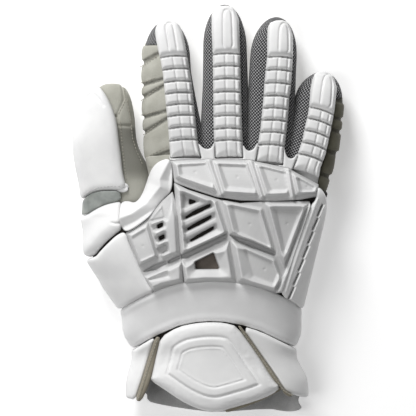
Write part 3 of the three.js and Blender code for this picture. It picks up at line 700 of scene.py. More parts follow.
def billow(made, block, plan):
    """Lets the leather of a soft pad swell as cloth under a little pressure, held along its sewn edges."""
    cloth = bpy.data.objects.new(made.name + "_cloth", made.data.copy())
    bpy.context.collection.objects.link(cloth)
    remesh = cloth.modifiers.new("remesh", "REMESH")
    remesh.voxel_size = BILLOW_MESH / 1000
    cloth.data = bpy.data.meshes.new_from_object(cloth.evaluated_get(bpy.context.evaluated_depsgraph_get()))
    cloth.modifiers.clear()
    start = points_of(cloth)
    swell = cloth.modifiers.new("swell", "CLOTH")
    swell.settings.quality = 5
    swell.settings.use_pressure = True
    swell.settings.uniform_pressure_force = BILLOW_PRESSURE
    swell.settings.effector_weights.gravity = 0
    swell.settings.tension_stiffness = 12
    swell.settings.bending_stiffness = 0.6
    swell.point_cache.frame_end = BILLOW_STEPS
    for step in range(1, BILLOW_STEPS + 1):
        bpy.context.scene.frame_set(step)
    risen = bpy.data.meshes.new_from_object(cloth.evaluated_get(bpy.context.evaluated_depsgraph_get()))
    cloth.modifiers.clear()
    cloth.data = risen
    move = points_of(cloth) - start
    length = np.linalg.norm(move, axis=1, keepdims=True)
    move = move * np.minimum(1, BILLOW_LIMIT / np.maximum(length, 1e-6))
    tree = mathutils.kdtree.KDTree(len(start))
    for k, spot in enumerate(start):
        tree.insert(spot, k)
    tree.balance()
    rest = points_of(made)
    shift = np.zeros_like(rest)
    for k, spot in enumerate(rest):
        near = tree.find_n(spot, BILLOW_NEAR)
        weights = np.array([1 / (found[2] + 0.2) ** 2 for found in near])
        shift[k] = (move[[found[1] for found in near]] * weights[:, None]).sum(axis=0) / weights.sum()
    where = np.round((rest - block.low) / block.pitch).astype(int)[:, :2]
    where = np.clip(where, 0, np.array(plan.shape[:2]) - 1)
    free = np.clip(-plan[where[:, 0], where[:, 1], 0] / BILLOW_EDGE, 0, 1)[:, None]
    bpy.data.objects.remove(cloth)
    bpy.context.scene.frame_set(1)
    made.data.vertices.foreach_set("co", ((rest + shift * free) / 1000).ravel())
    made.data.update()


for name, row in SMOOTH_PADS.items():
    block = node_block([name], pitch=0.8, margin=5)
    skin = glove_skin(block)
    stand = block.flat(float(row["stand"]))
    if "rolls_over" in row:
        rolled = np.clip(1 - line(block, row["rolls_over"]) / ROLL_WIDTH, 0, 1)
        stand = stand - ROLL_DEPTH * rolled**1.5
    for crease in row.get("creases", []):
        stand = stand - dent(line(block, crease, 2), RIDGE_WIDTH, row.get("sunk", CREASE_DEPTH))
    if name == "wing":
        below = outline(block, WING_RIDGE)
        for face, side in ((WING_FACE, below), (WING_BACK, -below)):
            stand = stand + np.clip(side, -face["width"], 0) * face["slope"]
    if name == "side_panel":
        stand = stand + dent(line(block, PANEL_RIDGE), RIDGE_WIDTH, 0.9)
        for k in range(SLITS):
            top = SLIT_ROW[0] + (SLIT_ROW[1] - SLIT_ROW[0]) * k / (SLITS - 1)
            slit = line(block, [top, top + SLIT_LEAN])
            lip = line(block, [top + SLIT_LIP, top + SLIT_LEAN + SLIT_LIP])
            stand = stand - dent(slit, SLIT_WIDTH, SLIT_DEPTH) + dent(lip, 1, 0.9)
    shape = outline(block, row["outline"], 2)
    made = piece(name + "_cover", pad(block, skin, shape, stand, row["edge"]), block, white_foam)
    if name in BILLOWED:
        billow(made, block, shape)
    # Painted shade on each pad: darker deeper below its top and on faces turned to the side.
    place_in_glove(paint_shade(made, block, skin, row["stand"], 0.6), "foam", name, fill=0.6)

# The band between the thumb's shell and its base is tape with glass beads in it, sewn flat.
reflective, shader, place = finish("reflective_band", 0.35, 0.7)
beads = place.cells(0.5)
sheen = place.noise(9, 3)
tone = sheen.step(0.3, 0.7).mixed((0.21, 0.23, 0.215, 1), (0.33, 0.35, 0.33, 1))
wire_up(shader, place, Base_Color=tone, Normal=beads.bump(0.08), Roughness=sheen * 0.3 + 0.28)
BAND = [
    (60, 209), (77, 206.5), (82, 202), (89, 195), (98, 191.6), (110, 191), (119.6, 191.4), (121.4, 200),
    (105.5, 203.6), (94.5, 209), (86, 214.6), (60, 217),
]
block = node_block(["thumb_band"], pitch=0.7, margin=3)
field = pad(block, glove_skin(block), outline(block, BAND, 1), stand=4.5, edge=1.5)
place_in_glove(piece("thumb_band_cover", field, block, reflective), "reflective_band", "thumb_band")

# Armour: firm foam under white synthetic leather, pressed in a heated mould and glued to the woven back.
# Its cells are dished, with crests that catch the light, and open slots and louvres let the hand breathe.
ARMOUR_HEM = 24
FOAM_BASE = 4.5
FOAM_CREST = 11
FOAM_RECESS = 6.2
ARMOUR_PITCH = 0.6
armour_foam = leather("armour_foam_leather", (0.67, 0.67, 0.67, 1), (0.76, 0.76, 0.755, 1), 0.6, 0.06, 0.5)

# Outer edge and floor of each dished cell, over the photograph.
CELLS = {
    "knuckle_plate": [
        {"edge": [(173, 162), (206, 161), (219, 194), (176, 179)],
         "floor": [(181, 166), (205, 164.5), (212, 184), (183, 174.5)]},
        {"edge": [(212, 160.5), (248, 162), (259.5, 197), (222, 195)],
         "floor": [(220.5, 165.5), (245, 166.5), (254, 189.5), (228.5, 186.5)]},
        {"edge": [(252.5, 161.5), (286, 170), (290, 196.5), (264, 197.5)],
         "floor": [(262.5, 168), (284, 173.2), (287, 189.5), (271, 190)]},
        {"edge": [(289.5, 170), (318, 186.5), (316.5, 194), (295, 196)],
         "floor": [(298, 179), (314, 187.5), (312, 190.5), (301.5, 190.5)]},
    ],
    "back_plate": [
        {"edge": [(221, 199.5), (262, 208), (275.5, 255), (230, 234)],
         "floor": [(233, 207), (257.5, 212), (268.5, 245.5), (239, 231.5)]},
        {"edge": [(230.5, 239.5), (274.5, 258.5), (282, 279), (275, 291.5), (238, 281)],
         "floor": [(246, 250.5), (271, 261.5), (277, 273.5), (273, 283), (253, 275)]},
        {"edge": [(263, 202), (308.5, 203), (284, 268), (278.5, 256)],
         "floor": [(276, 210.5), (299, 210.5), (284.5, 249.5)]},
        {"edge": [(175, 184), (217, 200.5), (228.5, 234), (181.5, 254.5)],
         "floor": [(183.5, 196), (211, 204.3), (218, 230.8), (187.5, 246.5)]},
    ],
    "gill_plate": [
        {"edge": [(128, 233.5), (148.5, 221.5), (159, 257), (140, 265.5)], "recess": 8.4,
         "floor": [(133, 238.5), (145.5, 231), (153.5, 254), (142, 259.5)]},
        {"edge": [(149, 220.5), (162, 203.5), (164.5, 217.5)],
         "floor": [(154.5, 216), (160, 209.5), (161, 214.5)]},
        {"edge": [(144, 276), (168, 266.5), (183.5, 258.5), (184, 281.5), (163, 286), (152, 291)],
         "recess": 10, "floor": [(149.5, 279.5), (167, 272), (168, 275)]},
    ],
}
# Slots right through the armour: the louvres of the vent, the window, and the small slots by the thumb.
SLOTS = {
    "knuckle_plate": [],
    "back_plate": [
        [(189.5, 199.2), (196.8, 201.4), (190, 204.6)],
        [(185.5, 217), (196, 210), (210.8, 203.8), (209.8, 207), (198, 213), (186.5, 218.6)],
        [(187, 228.6), (197, 222.2), (211.4, 215), (210.8, 218), (199, 224.8), (188, 230)],
        [(190, 240), (200, 233.6), (214.2, 225.8), (213.4, 228.8), (202, 235.8), (191, 241.2)],
        [(195, 261.5), (213.5, 252.5), (219, 268), (196, 268.5)],
    ],
    "gill_plate": [
        [(157.2, 225), (163, 222.4), (163.6, 226), (158.6, 228.6)],
        [(159.4, 236.6), (164.4, 234.2), (165, 237.8), (160.4, 240)],
    ],
}
# Deep grooves where the armour bends, down to a thin skin of foam.
GROOVE_FLOOR = 1.2
GROOVES = {
    "knuckle_plate": [],
    "back_plate": [
        [(178, 256.5), (226.5, 233.2), (226, 238), (187.5, 257), (180, 258.5)],
        [(230, 234.8), (252, 241.5), (274.5, 251.5), (274.5, 255), (252, 247), (236, 239.8)],
    ],
    "gill_plate": [
        [(144.5, 271), (155, 264.6), (166.3, 260.6), (166.6, 263.4), (156, 269)],
        [(168.4, 260.6), (180.5, 255), (180.5, 257.6), (169, 262.6)],
    ],
}
# Shallower hollows: around the louvres, between the small slots, and in the lowest cell by the thumb.
HOLLOWS = {
    "knuckle_plate": [],
    "back_plate": [
        {"edge": [(184.5, 195), (198.5, 200.6), (184.5, 207.5)], "floor": 3},
        {"edge": [(184, 215.6), (211, 203), (212, 206.6), (184.6, 219.4)], "floor": 3},
        {"edge": [(185.4, 227.8), (213.6, 213.8), (214.2, 217.6), (186.2, 231.6)], "floor": 3},
        {"edge": [(186.8, 239.4), (215.6, 224.6), (216.4, 228.6), (188, 243)], "floor": 3},
    ],
    "gill_plate": [
        {"edge": [(153, 218), (161.5, 209), (163, 217), (155.5, 221)], "floor": 5.5},
        {"edge": [(152.5, 226.3), (163, 221.6), (164, 225.4), (154, 230.5)], "floor": 4},
        {"edge": [(155.6, 237.8), (164.6, 233.6), (165.6, 238), (157, 242)], "floor": 4},
        {"edge": [(157.8, 249), (166.2, 245), (167, 250), (159.8, 254)], "floor": 3},
        {"edge": [(150.5, 278.6), (167, 271.4), (168.2, 275.6)], "floor": 6},
    ],
}
WINDOW_FRAME = [(180, 258), (186, 262.5), (222, 246.5), (229, 239), (236, 281.5), (205, 281), (184, 283)]
PLATES = {
    "knuckle_plate": [
        (170.5, 161), (207, 160), (248, 160.6), (287, 168.6), (317.5, 184.8), (317.3, 196), (300, 199.3),
        (275, 200.8), (240, 200), (216, 196.6), (190, 188), (175, 182.4),
    ],
    "back_plate": [
        (174.6, 183.4), (188, 190.2), (217, 199.4), (240, 203.6), (262, 202), (308.6, 201.6),
        (309.5, 207), (293, 255), (282, 291.5), (276, 292.5), (248, 284.5), (224, 282.5), (205, 283),
        (185, 283), (179, 240),
    ],
    "gill_plate": [
        (126.8, 233), (147, 220.5), (163, 200.8), (172.6, 192.4), (177.6, 210), (179.4, 240),
        (183.6, 283), (168, 285.5), (155, 291.6), (146.3, 281.6), (135.8, 257.4),
    ],
}
WALL_SLOPE = 1.5
CELL_STEEPER = 1.4  # a cell's outer wall, against the others
CREST = 0.34
RIGHT_BEVEL = [(309, 203), (290, 262), (276.5, 292), (282, 292), (296, 262), (312, 203)]
BEVEL_HEIGHT = 8.5
BARS = [(150, 222), (166, 218), (172, 196), (178, 215), (180, 254), (163, 259), (158, 250)]
KNUCKLE_RIDGES = [[(208.5, 160), (220.5, 195)], [(250.3, 161), (261.5, 197)], [(287.6, 170), (292, 197)]]
KNUCKLE_RIDGE = 9.4
RIDGE_SLOPE = 1.6
BAR_SLOPE = 2
HOLLOW_SLOPE = 2.6
SLOT_SLOPE = 6
GROOVE_SLOPE = 7
PIN_DEPTH = 0.7  # mark of an ejector pin in the middle of each cell
SLOT_SINK = 2.5


def dished(block, height, edge, floor, recess=FOAM_RECESS):
    """Adds one cell: it rises steeply from its outer edge to a crest and slopes down to a level floor."""
    out = np.maximum(-outline(block, edge), 0)
    down = np.maximum(outline(block, floor), 0)
    share = out / np.maximum(out + down, 1e-6)
    rise = FOAM_BASE + np.minimum(out * WALL_SLOPE * CELL_STEEPER, FOAM_CREST - FOAM_BASE)
    fall = recess + (FOAM_CREST - recess) * np.minimum(1, (1 - share) / (1 - CREST))
    return np.where(out > 0, np.maximum(height, np.minimum(rise, fall)), height)


def softened(height, times):
    """A height whose edges are rounded as leather pressed over foam rounds them."""
    for _ in range(times):
        for axis in (0, 1):
            before = np.concatenate([np.take(height, [0], axis), np.delete(height, -1, axis)], axis)
            after = np.concatenate([np.delete(height, 0, axis), np.take(height, [-1], axis)], axis)
            height = (before + 2 * height + after) / 4
    return height


for name, shape in PLATES.items():
    block = node_block([name], ARMOUR_PITCH, margin=2.5)
    height = block.flat(FOAM_BASE)
    if name == "back_plate":
        height = dished(block, height, WINDOW_FRAME, SLOTS[name][-1])
        height = np.where(outline(block, RIGHT_BEVEL) < 0, BEVEL_HEIGHT, height)
    if name == "gill_plate":
        height = np.maximum(height, np.minimum(FOAM_BASE - outline(block, BARS) * BAR_SLOPE, FOAM_CREST - 1))
    for cell in CELLS[name]:
        height = dished(block, height, cell["edge"], cell["floor"], cell.get("recess", FOAM_RECESS))
    if name == "knuckle_plate":
        for ridge in KNUCKLE_RIDGES:
            height = np.maximum(height, KNUCKLE_RIDGE - line(block, ridge) * RIDGE_SLOPE)
    for cell in CELLS[name]:
        pin = [tuple(np.mean(cell["floor"], axis=0) + end) for end in ((-0.3, 0), (0.3, 0))]
        height = height - dent(line(block, pin), 0.6, PIN_DEPTH)
    for hollow in HOLLOWS[name]:
        out = np.maximum(outline(block, hollow["edge"]), 0)
        height = np.minimum(height, hollow["floor"] + out * HOLLOW_SLOPE)
    for slot in SLOTS[name]:
        into = outline(block, slot)
        height = np.where(into < 0, -SLOT_SINK, np.minimum(height, 5 + into * SLOT_SLOPE))
    for groove in GROOVES[name]:
        out = np.maximum(outline(block, groove), 0)
        height = np.minimum(height, GROOVE_FLOOR + out * GROOVE_SLOPE)
    height = softened(height, 1)
    skin = glove_skin(block)
    body = soft_max(skin - height, outline(block, shape) - SPREAD, 2)
    body = np.maximum(np.maximum(body, CLEARANCE - skin), ARMOUR_HEM - block.z)
    # Painted shade in the armour's cells, slots and grooves, darker the deeper they lie below the crests.
    made = paint_shade(piece(name + "_cover", body, block, armour_foam), block, skin, FOAM_CREST)
    place_in_glove(made, "foam", name, fill=0.7)

# Each finger is a sock: leather from below, sewn to heather-grey open knit that shows beside the strip and at
# the tip. The leather of the index and small fingers, stone beige and olive, comes high up the outer side in
# quilted folds.
FINGER_LENGTH = 122
FINGER_LEVELS = (25, 13.5)  # middle of the finger at the knuckles and at the tip
FINGER_HEIGHT = 29
FINGER_TAPER = 0.12
FINGER_SQUARE = 2.4
TIP_FROM = 0.76
TIP_TO = 1.028  # the stretched knit reaches a little past the solid finger
KNIT_SEAM = -0.35
HIGH_SEAM = 0.72
# base, tip and bow: middle of the finger as a share of the hand's width; wide, end: its width likewise;
# seams: how high the leather comes on the left and right, as a share of half the finger's height;
# stretch: how far the knit reaches past the solid finger at its base, in pixels on the left and right, and
# the share of the finger over which that fades.
FINGERS = {
    "index": {
        "base": -0.322, "tip": -0.36, "bow": -0.012, "wide": 0.29, "end": 0.235, "length": 0.9,
        "seams": (HIGH_SEAM, KNIT_SEAM), "knit_from": 0.84, "stretch": ((0, 1), (8.5, 0.65)),
    },
    "middle": {
        "base": -0.05, "tip": -0.05, "bow": 0, "wide": 0.243, "end": 0.226, "length": 1,
        "seams": (KNIT_SEAM, KNIT_SEAM), "stretch": ((3, 0.5), (3.5, 0.9)),
    },
    "ring": {
        "base": 0.188, "tip": 0.226, "bow": -0.004, "wide": 0.228, "end": 0.25, "length": 0.955,
        "seams": (KNIT_SEAM, KNIT_SEAM), "stretch": ((3, 0.95), (3, 0.8)),
    },
    "pinky": {
        "base": 0.41, "tip": 0.478, "bow": 0.008, "wide": 0.205, "end": 0.238, "length": 0.715,
        "seams": (KNIT_SEAM, HIGH_SEAM), "knit_from": 0.8, "stretch": ((12, 1.3), (-5.5, 0.4)),
    },
}
# Quilted folds of the leather on the outer side of the index and small fingers, drawn over the photograph.
QUILTS = {
    "index": [
        [(130, 47), (165, 33), (168, 48), (130, 68)], [(130, 71.5), (168, 50.5), (174, 75.5), (130, 88)],
        [(130, 90), (174, 77.5), (174, 80), (130, 103)],
        [(130, 106), (174, 82.5), (178, 107.5), (132, 120)],
        [(132, 122), (178, 109.5), (178, 112), (132, 138.5)],
        [(132, 142), (178, 114.5), (184, 145), (138, 163)],
    ],
    "middle": [], "ring": [],
    "pinky": [
        [(334, 101), (346, 104), (346, 119), (332, 116)],
        [(332, 118.5), (346, 121.5), (343, 131), (330, 128)],
        [(330, 131), (343, 134), (342, 153), (326, 149)],
        [(326, 152), (336, 156), (336, 177), (320, 172)],
        [(320, 175), (333, 180), (330, 196), (314, 190)],
    ],
}
QUILT_EDGE = 1.4  # how high a fold rises at its edge, in millimetres
olive_goat = leather("olive_goat_leather", (0.105, 0.1, 0.068, 1),
                     (0.16, 0.152, 0.11, 1), 1, 0.16, 0.75, 0.1)

knit, shader, place = finish("heather_knit", 0.92, 0.2, 0.25)
WALE = 2.6  # millimetres from one column of stitches to the next
COURSE = 2.8  # millimetres from one row to the next
stretch = place.node("ShaderNodeUVMap", {"uv_map": "knit"}, {})
column = stretch.part(0) * (2 * math.pi / WALE)
course = stretch.part(1) * (2 * math.pi / COURSE)
open_work = column.math("SINE", column) * course.math("SINE", course)
hole = open_work.step(-0.3, 0.15)
plait = (column + course * 0.5) * 2
strand = plait.math("SINE", plait)
heather = stretch.node("ShaderNodeTexNoise", {}, {"Vector": stretch, "Scale": 1.3, "Detail": 2})
light = (strand * 0.25 + open_work * -0.55 + heather * 0.7).step(0.0, 0.85)
tone = light.mixed((0.012, 0.012, 0.013, 1), (0.5, 0.5, 0.51, 1))
relief = open_work * -0.8 + strand * 0.15 - hole * 1.6
wire_up(shader, place, Base_Color=hole.mixed(tone, (0.008, 0.008, 0.009, 1)), Normal=relief.bump(0.4))


def finger_way(block, row):
    """How far along a finger a place is, 0 at the knuckles and 1 at the tip, and the finger's size there."""
    leaning = []
    for across in ((block.x - HAND_CENTRE[0]) / HAND_WIDTH, np.array(row["base"])):
        far = np.maximum(0, (across - SLANT["from"]) / (SLANT["to"] - SLANT["from"]))
        leaning.append(HAND_CENTRE[1] + (KNUCKLES - SLANT["drop"] * far ** SLANT["bend"]) * HAND_LENGTH)
    knuckle, own = leaning
    way = (block.y - knuckle) / (row["length"] * FINGER_LENGTH + own - knuckle)
    t = np.clip(way, 0, 1)
    share = row["base"] + (row["tip"] - row["base"]) * t + row["bow"] * 4 * t * (1 - t)
    middle = HAND_CENTRE[0] + share * HAND_WIDTH
    half = (row["wide"] + (row["end"] - row["wide"]) * t) * HAND_WIDTH / 2
    left, right = (pixel * reach * np.maximum(0, 1 - t / fades) for reach, fades in row["stretch"])
    middle = middle + (right - left) / 2
    half = half + (right + left) / 2
    level = FINGER_LEVELS[0] + (FINGER_LEVELS[1] - FINGER_LEVELS[0]) * t**1.8
    tall = FINGER_HEIGHT / 2 * (1 - FINGER_TAPER * t)
    return way, middle, half, level, tall


def finger_skin(block, row):
    """Distance to the outside of a finger, closed round at its tip and cut off at the knuckle line."""
    way, middle, half, level, tall = finger_way(block, row)
    across = np.abs(block.x - middle) / half
    ring = (across**FINGER_SQUARE + (np.abs(block.z - level) / tall) ** FINGER_SQUARE) ** (1 / FINGER_SQUARE)
    closing = np.maximum(0, (way - TIP_FROM) / (TIP_TO - TIP_FROM))
    distance = block.distance(np.sqrt(ring**2 + closing**2) - 1)
    return np.maximum(distance, -way * row["length"] * FINGER_LENGTH + CLEARANCE)


def stretch_over(made, row):
    """Lays the knit on a finger: millimetres around it and along it as the mesh's own map."""
    spot = Block((0, 0, 0), (0, 0, 0), 1)
    spot.x, spot.y, spot.z = points_of(made).T
    way, middle, half, level, tall = finger_way(spot, row)
    around = np.arctan2(spot.x - middle, spot.z - level) * (half + tall) / 2
    flat = np.stack([around, way * row["length"] * FINGER_LENGTH], axis=1)
    corner = np.zeros(len(made.data.loops), int)
    made.data.loops.foreach_get("vertex_index", corner)
    made.data.uv_layers.new(name="knit").data.foreach_set("uv", flat[corner].ravel())


for name, row in FINGERS.items():
    block = node_block([name + "_leather", name + "_mesh"], pitch=0.9, margin=6)
    way, middle, half, level, tall = finger_way(block, row)
    skin = finger_skin(block, row)
    side = np.clip((block.x - middle) / half * 2, -1, 1)
    seam = row["seams"][0] + (row["seams"][1] - row["seams"][0]) * (side + 1) / 2
    seam = seam + (KNIT_SEAM - seam) * np.clip((way - 0.8) / 0.04, 0, 1)
    cut = block.z - level - seam * tall
    if name in ("index", "pinky"):
        outer = (block.x - middle) * (1 if name == "index" else -1)
        knit_tip = (way - row["knit_from"]) * row["length"] * FINGER_LENGTH
        cut = np.minimum(cut, np.maximum(outer, knit_tip))
    quilted = skin
    for fold in QUILTS[name]:
        puff = np.clip(-outline(block, fold), 0, 6)
        quilted = quilted - np.minimum(puff * 1.2, QUILT_EDGE) - puff * 0.12
    below = soft_max(wall_of(quilted, skin), cut + CLEARANCE / 2, 0.8)
    above = soft_max(wall_of(skin, skin), CLEARANCE / 2 - cut, 0.8)
    hide = {"index": beige_goat, "pinky": olive_goat}.get(name, palm_suede)
    slot = {"index": "beige_leather", "pinky": "side_leather"}.get(name, "palm_leather")
    made = piece(name + "_leather_cover", below, block, hide)
    if QUILTS[name]:
        # Painted shade in the creases between the quilted folds.
        paint_shade(made, block, skin, 1.5)
    place_in_glove(made, slot, name + "_leather")
    sock = piece(name + "_knit", above, block, knit)
    stretch_over(sock, row)
    place_in_glove(sock, "knit_mesh", name + "_mesh")

# A strip of moulded foam runs down the back of each finger: short ribs that let it bend and a long cap over
# the tip. Two fine channels run along it, and an arched ridge stands on the cap.
strip_foam = leather("strip_foam_leather", (0.75, 0.75, 0.75, 1), (0.83, 0.83, 0.825, 1), 0.6, 0.06, 0.5)
STRIP_BASE = 2.2
RIB_HEIGHT = 8.5
STRIP_HEM = 9
GAP = 0.75  # half the gap between ribs, in pixels
RIB_FALL = 4.2  # how far a rib falls off towards the next, and towards the last
RIB_STEP = 1.2
RIB_BEVEL = 3.7  # pixels over which it falls, on the ribs and on the cap
CAP_BEVEL = 6
RIB_BOW = 1.3  # how far the gaps between ribs bow down, in pixels
CHANNEL_WIDTH = 0.6
CHANNEL_DEPTH = 1.5
# left and right: the strip's edges as (y, x) in the photograph; gaps: where the ribs part on the left; drop:
# how much lower they part on the right; grooves: the channels as shares of the width; ridge: the cap's ridge.
STRIPS = {
    "index": {
        "left": [
            (30, 155), (40, 156), (52, 158.5), (60, 160.5), (75, 163), (100, 165.5), (125, 168),
            (159, 170.5),
        ],
        "tip": [(157.5, 24), (162, 21), (168, 20.2), (175, 21.5)],
        "right": [
            (26, 180), (34, 183), (48, 186), (60, 188), (85, 192), (113, 195), (140, 197.8), (159, 202),
        ],
        "gaps": [58.5, 71, 83.5, 95, 106.5, 117.5, 129.5, 141.8, 159.5], "drop": -1.5,
        "grooves": (0.47, 0.83),
        "ridge": [
            (170, 55), (167.5, 38), (165.5, 27), (167, 23.8), (170, 23), (172.2, 24), (173.6, 28),
            (175.5, 40), (178, 55),
        ],
    },
    "middle": {
        "left": [(14, 211.5), (30, 211.5), (50, 212.5), (90, 213), (130, 213.5), (159, 214.5)],
        "tip": [(214, 8.5), (219, 6.3), (226, 5.6), (232, 6.5)],
        "right": [(11, 236), (20, 239), (50, 240), (90, 241), (130, 242), (159, 243.5)],
        "gaps": [55.5, 67.7, 80.5, 93.5, 105.5, 117.3, 130, 141.8, 159.5], "drop": -0.4,
        "grooves": (0.46, 0.8),
        "ridge": [
            (223.5, 53), (223, 20), (223.6, 12), (226, 9.6), (229, 9.6), (231.3, 12), (232, 20),
            (233, 53),
        ],
    },
    "ring": {
        "left": [
            (28, 267.5), (40, 267), (55, 267), (70, 265.5), (85, 264), (100, 263), (115, 261.5),
            (130, 260), (142, 258), (164, 254.5),
        ],
        "tip": [(270, 23), (276, 20.6), (282, 20.3), (287, 22)],
        "right": [
            (28, 290.5), (36, 293), (55, 293), (70, 292), (85, 291), (100, 289), (115, 288), (130, 286.5),
            (145, 284.5), (166, 283),
        ],
        "gaps": [58, 71, 84, 96.8, 109, 121, 133, 145.5, 164], "drop": 1.2, "grooves": (0.45, 0.82),
        "ridge": [
            (278.5, 56), (279, 35), (280, 27), (282.5, 23.6), (285, 23.4), (287.3, 26), (288.5, 35),
            (288.3, 56),
        ],
    },
    "pinky": {
        "left": [
            (80, 312), (90, 310), (105, 309), (115, 307.5), (125, 305), (140, 302), (152, 298),
            (171, 291),
        ],
        "tip": [(314.5, 74), (319, 71.5), (325, 71), (330, 73)],
        "right": [
            (78, 334), (88, 337), (100, 335.5), (112, 334), (128, 331), (142, 328), (155, 325),
            (168, 320), (186, 317),
        ],
        "gaps": [107.5, 118.5, 130.5, 142.5, 154, 170.5], "drop": 8, "grooves": (0.52, 0.83),
        "ridge": [
            (319.5, 108), (321.5, 90), (323.5, 79), (326, 75), (329, 75), (331.5, 78), (332, 90),
            (330, 110),
        ],
    },
}


def strip_shape(row):
    """The outline of a strip over the photograph."""
    return [(x, y) for y, x in row["left"][::-1]] + row["tip"] + [(x, y) for y, x in row["right"]]


for name, row in STRIPS.items():
    block = node_block([name + "_back", name + "_mesh"], pitch=0.5, margin=3)
    left = np.array(row["left"])
    right = np.array(row["right"])
    py = ORIGIN_PIXEL[1] - block.y / pixel
    px = block.x / pixel + ORIGIN_PIXEL[0]
    edges = [np.interp(py, side[:, 0], side[:, 1]) for side in (left, right)]
    share = np.clip((px - edges[0]) / (edges[1] - edges[0]), 0, 1)
    wide = (edges[1] - edges[0]) * pixel
    arch = 1 - (2 * share - 1) ** 2
    step_y = py - row["drop"] * share + RIB_BOW * arch
    gaps = np.array(row["gaps"])
    rib = np.clip(np.searchsorted(gaps, step_y), 0, len(gaps) - 1)
    to_next = gaps[rib] - step_y
    to_last = np.where(rib > 0, step_y - gaps[np.maximum(rib - 1, 0)], 20)
    bevel = np.where(rib == 0, CAP_BEVEL, np.where(rib == len(gaps) - 1, 2 + 7.5 * arch, RIB_BEVEL))
    height = RIB_HEIGHT - RIB_FALL * np.clip(1 - to_next / bevel, 0, 1) ** 1.6
    height = height - RIB_STEP * np.clip(1 - to_last / 1.8, 0, 1)
    for groove in row["grooves"]:
        channel = dent((share - groove) * wide, CHANNEL_WIDTH, CHANNEL_DEPTH)
        height = height - np.where(rib > 0, channel, 0)
    into = -outline(block, row["ridge"], 1)
    on_cap = (rib == 0) * np.clip(to_next / 4 - 1, 0, 1)
    height = height + on_cap * (np.clip(into / 0.8, 0, 1) * 0.5 - dent(into, 0.55, CHANNEL_DEPTH))
    height = height - 0.7 * (2 * share - 1) ** 4
    height = np.where(np.minimum(to_next, to_last) < GAP, STRIP_BASE, height)
    height = np.minimum(height, STRIP_BASE + np.minimum(share, 1 - share) * wide * 1.8 + 2.6)
    height = softened(height, 1)
    skin = finger_skin(block, FINGERS[name])
    body = soft_max(skin - height, outline(block, strip_shape(row)), 1.6)
    body = np.maximum(np.maximum(body, CLEARANCE - skin), STRIP_HEM - block.z)
    # Painted shade in the gaps and bevels between the ribs, darker the deeper they lie.
    made = paint_shade(piece(name + "_strip", body, block, strip_foam), block, skin, RIB_HEIGHT)
    place_in_glove(made, "foam", name + "_back", fill=0.7)

# Between the fingers the knuckle armour ends in a thin white web, one curved skin of foam that hugs the
# ribs' feet.
WEB_THICKNESS = 3.6
WEB_BLEND = 9  # how far the creases between the fingers are filled under it
WEB = [
    (168, 158), (180, 143), (197, 142), (200, 145), (203, 148), (206, 149.5), (210, 149), (212.5, 146.5),
    (214, 142), (242, 142), (243.5, 146), (246, 150), (249, 151.3), (252.5, 150), (255, 147),
    (257.5, 142), (284, 144), (284.5, 152), (287, 157.5), (290, 159), (293.5, 158), (297, 153),
    (306, 158), (318.5, 186), (317, 190), (286, 171.5), (248, 163.5), (207, 163), (170, 164),
]
low, high = np.array(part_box("knuckle_plate")) * 1000
block = Block(low - 2, high + (2, 16, 0), 0.7)
skin = hand_skin(block)
for row in FINGERS.values():
    skin = soft_min(skin, finger_skin(block, row), WEB_BLEND)
plan = outline(block, WEB, 1)
for row in STRIPS.values():
    plan = np.maximum(plan, -0.2 - outline(block, strip_shape(row)))
body = soft_max(skin - WEB_THICKNESS, plan, 1.5)
body = np.maximum(body, CLEARANCE - skin)
body = np.maximum(body, SPREAD - outline(block, PLATES["knuckle_plate"]))
place_in_glove(piece("knuckle_web", body, block, strip_foam), "foam", fill=0.7)

# The index finger's leather runs on over the knuckle to the wing, as a short skirt sewn to the woven back.
SKIRT = [(144, 157), (172, 155), (173, 164), (160, 166), (152, 172), (147, 182), (142, 182)]


def drawn_block(pixels, levels, pitch):
    """A block between two pixels of the photograph and two heights."""
    return Block(*np.column_stack([spots(pixels), levels]), pitch)


block = drawn_block([(141, 184), (176, 152)], (12, 58), 0.8)
field = pad(block, hand_skin(block), outline(block, SKIRT), stand=1.5, edge=0.8, hem=SEAM_HEIGHT)
place_in_glove(piece("index_skirt", field, block, beige_goat), "beige_leather")

# The wrist strap is smooth white synthetic leather over a stiff web, turned in along both edges.
# It closes over the wrist and pulls the cuff in against the arm.
strap_leather = leather("strap_leather", (0.8, 0.8, 0.8, 1), (0.85, 0.85, 0.85, 1), 0.4, 0.035, 0.4)
STRAP_THICKNESS = 5
STRAP_CROWN = 0.8  # how much thinner its edges are, and over how many millimetres they fall off
STRAP_SHOULDER = 13
WELT = {"inward": 3, "width": 2.4, "height": 0.5}  # where its edges are turned in
STRAP_TOP = [
    (100, 322), (121, 309.7), (130, 304), (140, 298.4), (160, 289), (181, 282.4), (212, 278.9),
    (238.6, 281.8), (260, 287.4), (278.6, 294.7), (293, 301.8), (303, 309.5), (325, 322),
]
STRAP_BOTTOM = [
    (325, 361), (297, 348), (278.6, 338.9), (260, 329.6), (241.4, 323.6), (224, 320.6), (210, 320),
    (195.7, 321), (178.6, 324.6), (160, 332.6), (147, 339.6), (133, 348.4), (100, 364),
]
block = node_block(["wrist_strap"], pitch=0.8, margin=3)
plan = outline(block, STRAP_TOP + STRAP_BOTTOM)
stand = STRAP_THICKNESS - STRAP_CROWN * np.clip(1 + plan / STRAP_SHOULDER, 0, 1) ** 2
stand = stand + dent(plan + WELT["inward"], WELT["width"], WELT["height"])
field = pad(block, hand_skin(block), plan, stand, edge=2.6)
place_in_glove(piece("wrist_strap_cover", field, block, strap_leather), "strap_webbing",
               "wrist_strap", fill=0.5)

# The flared cuff: a thick shield over the back of the wrist, a flap on each side of it with a beige woven
# binding along its edge, and the palm side, whose grey brushed lining shows past the shield.
CUFF_HEM = 15.2
LINING_STAND = 8
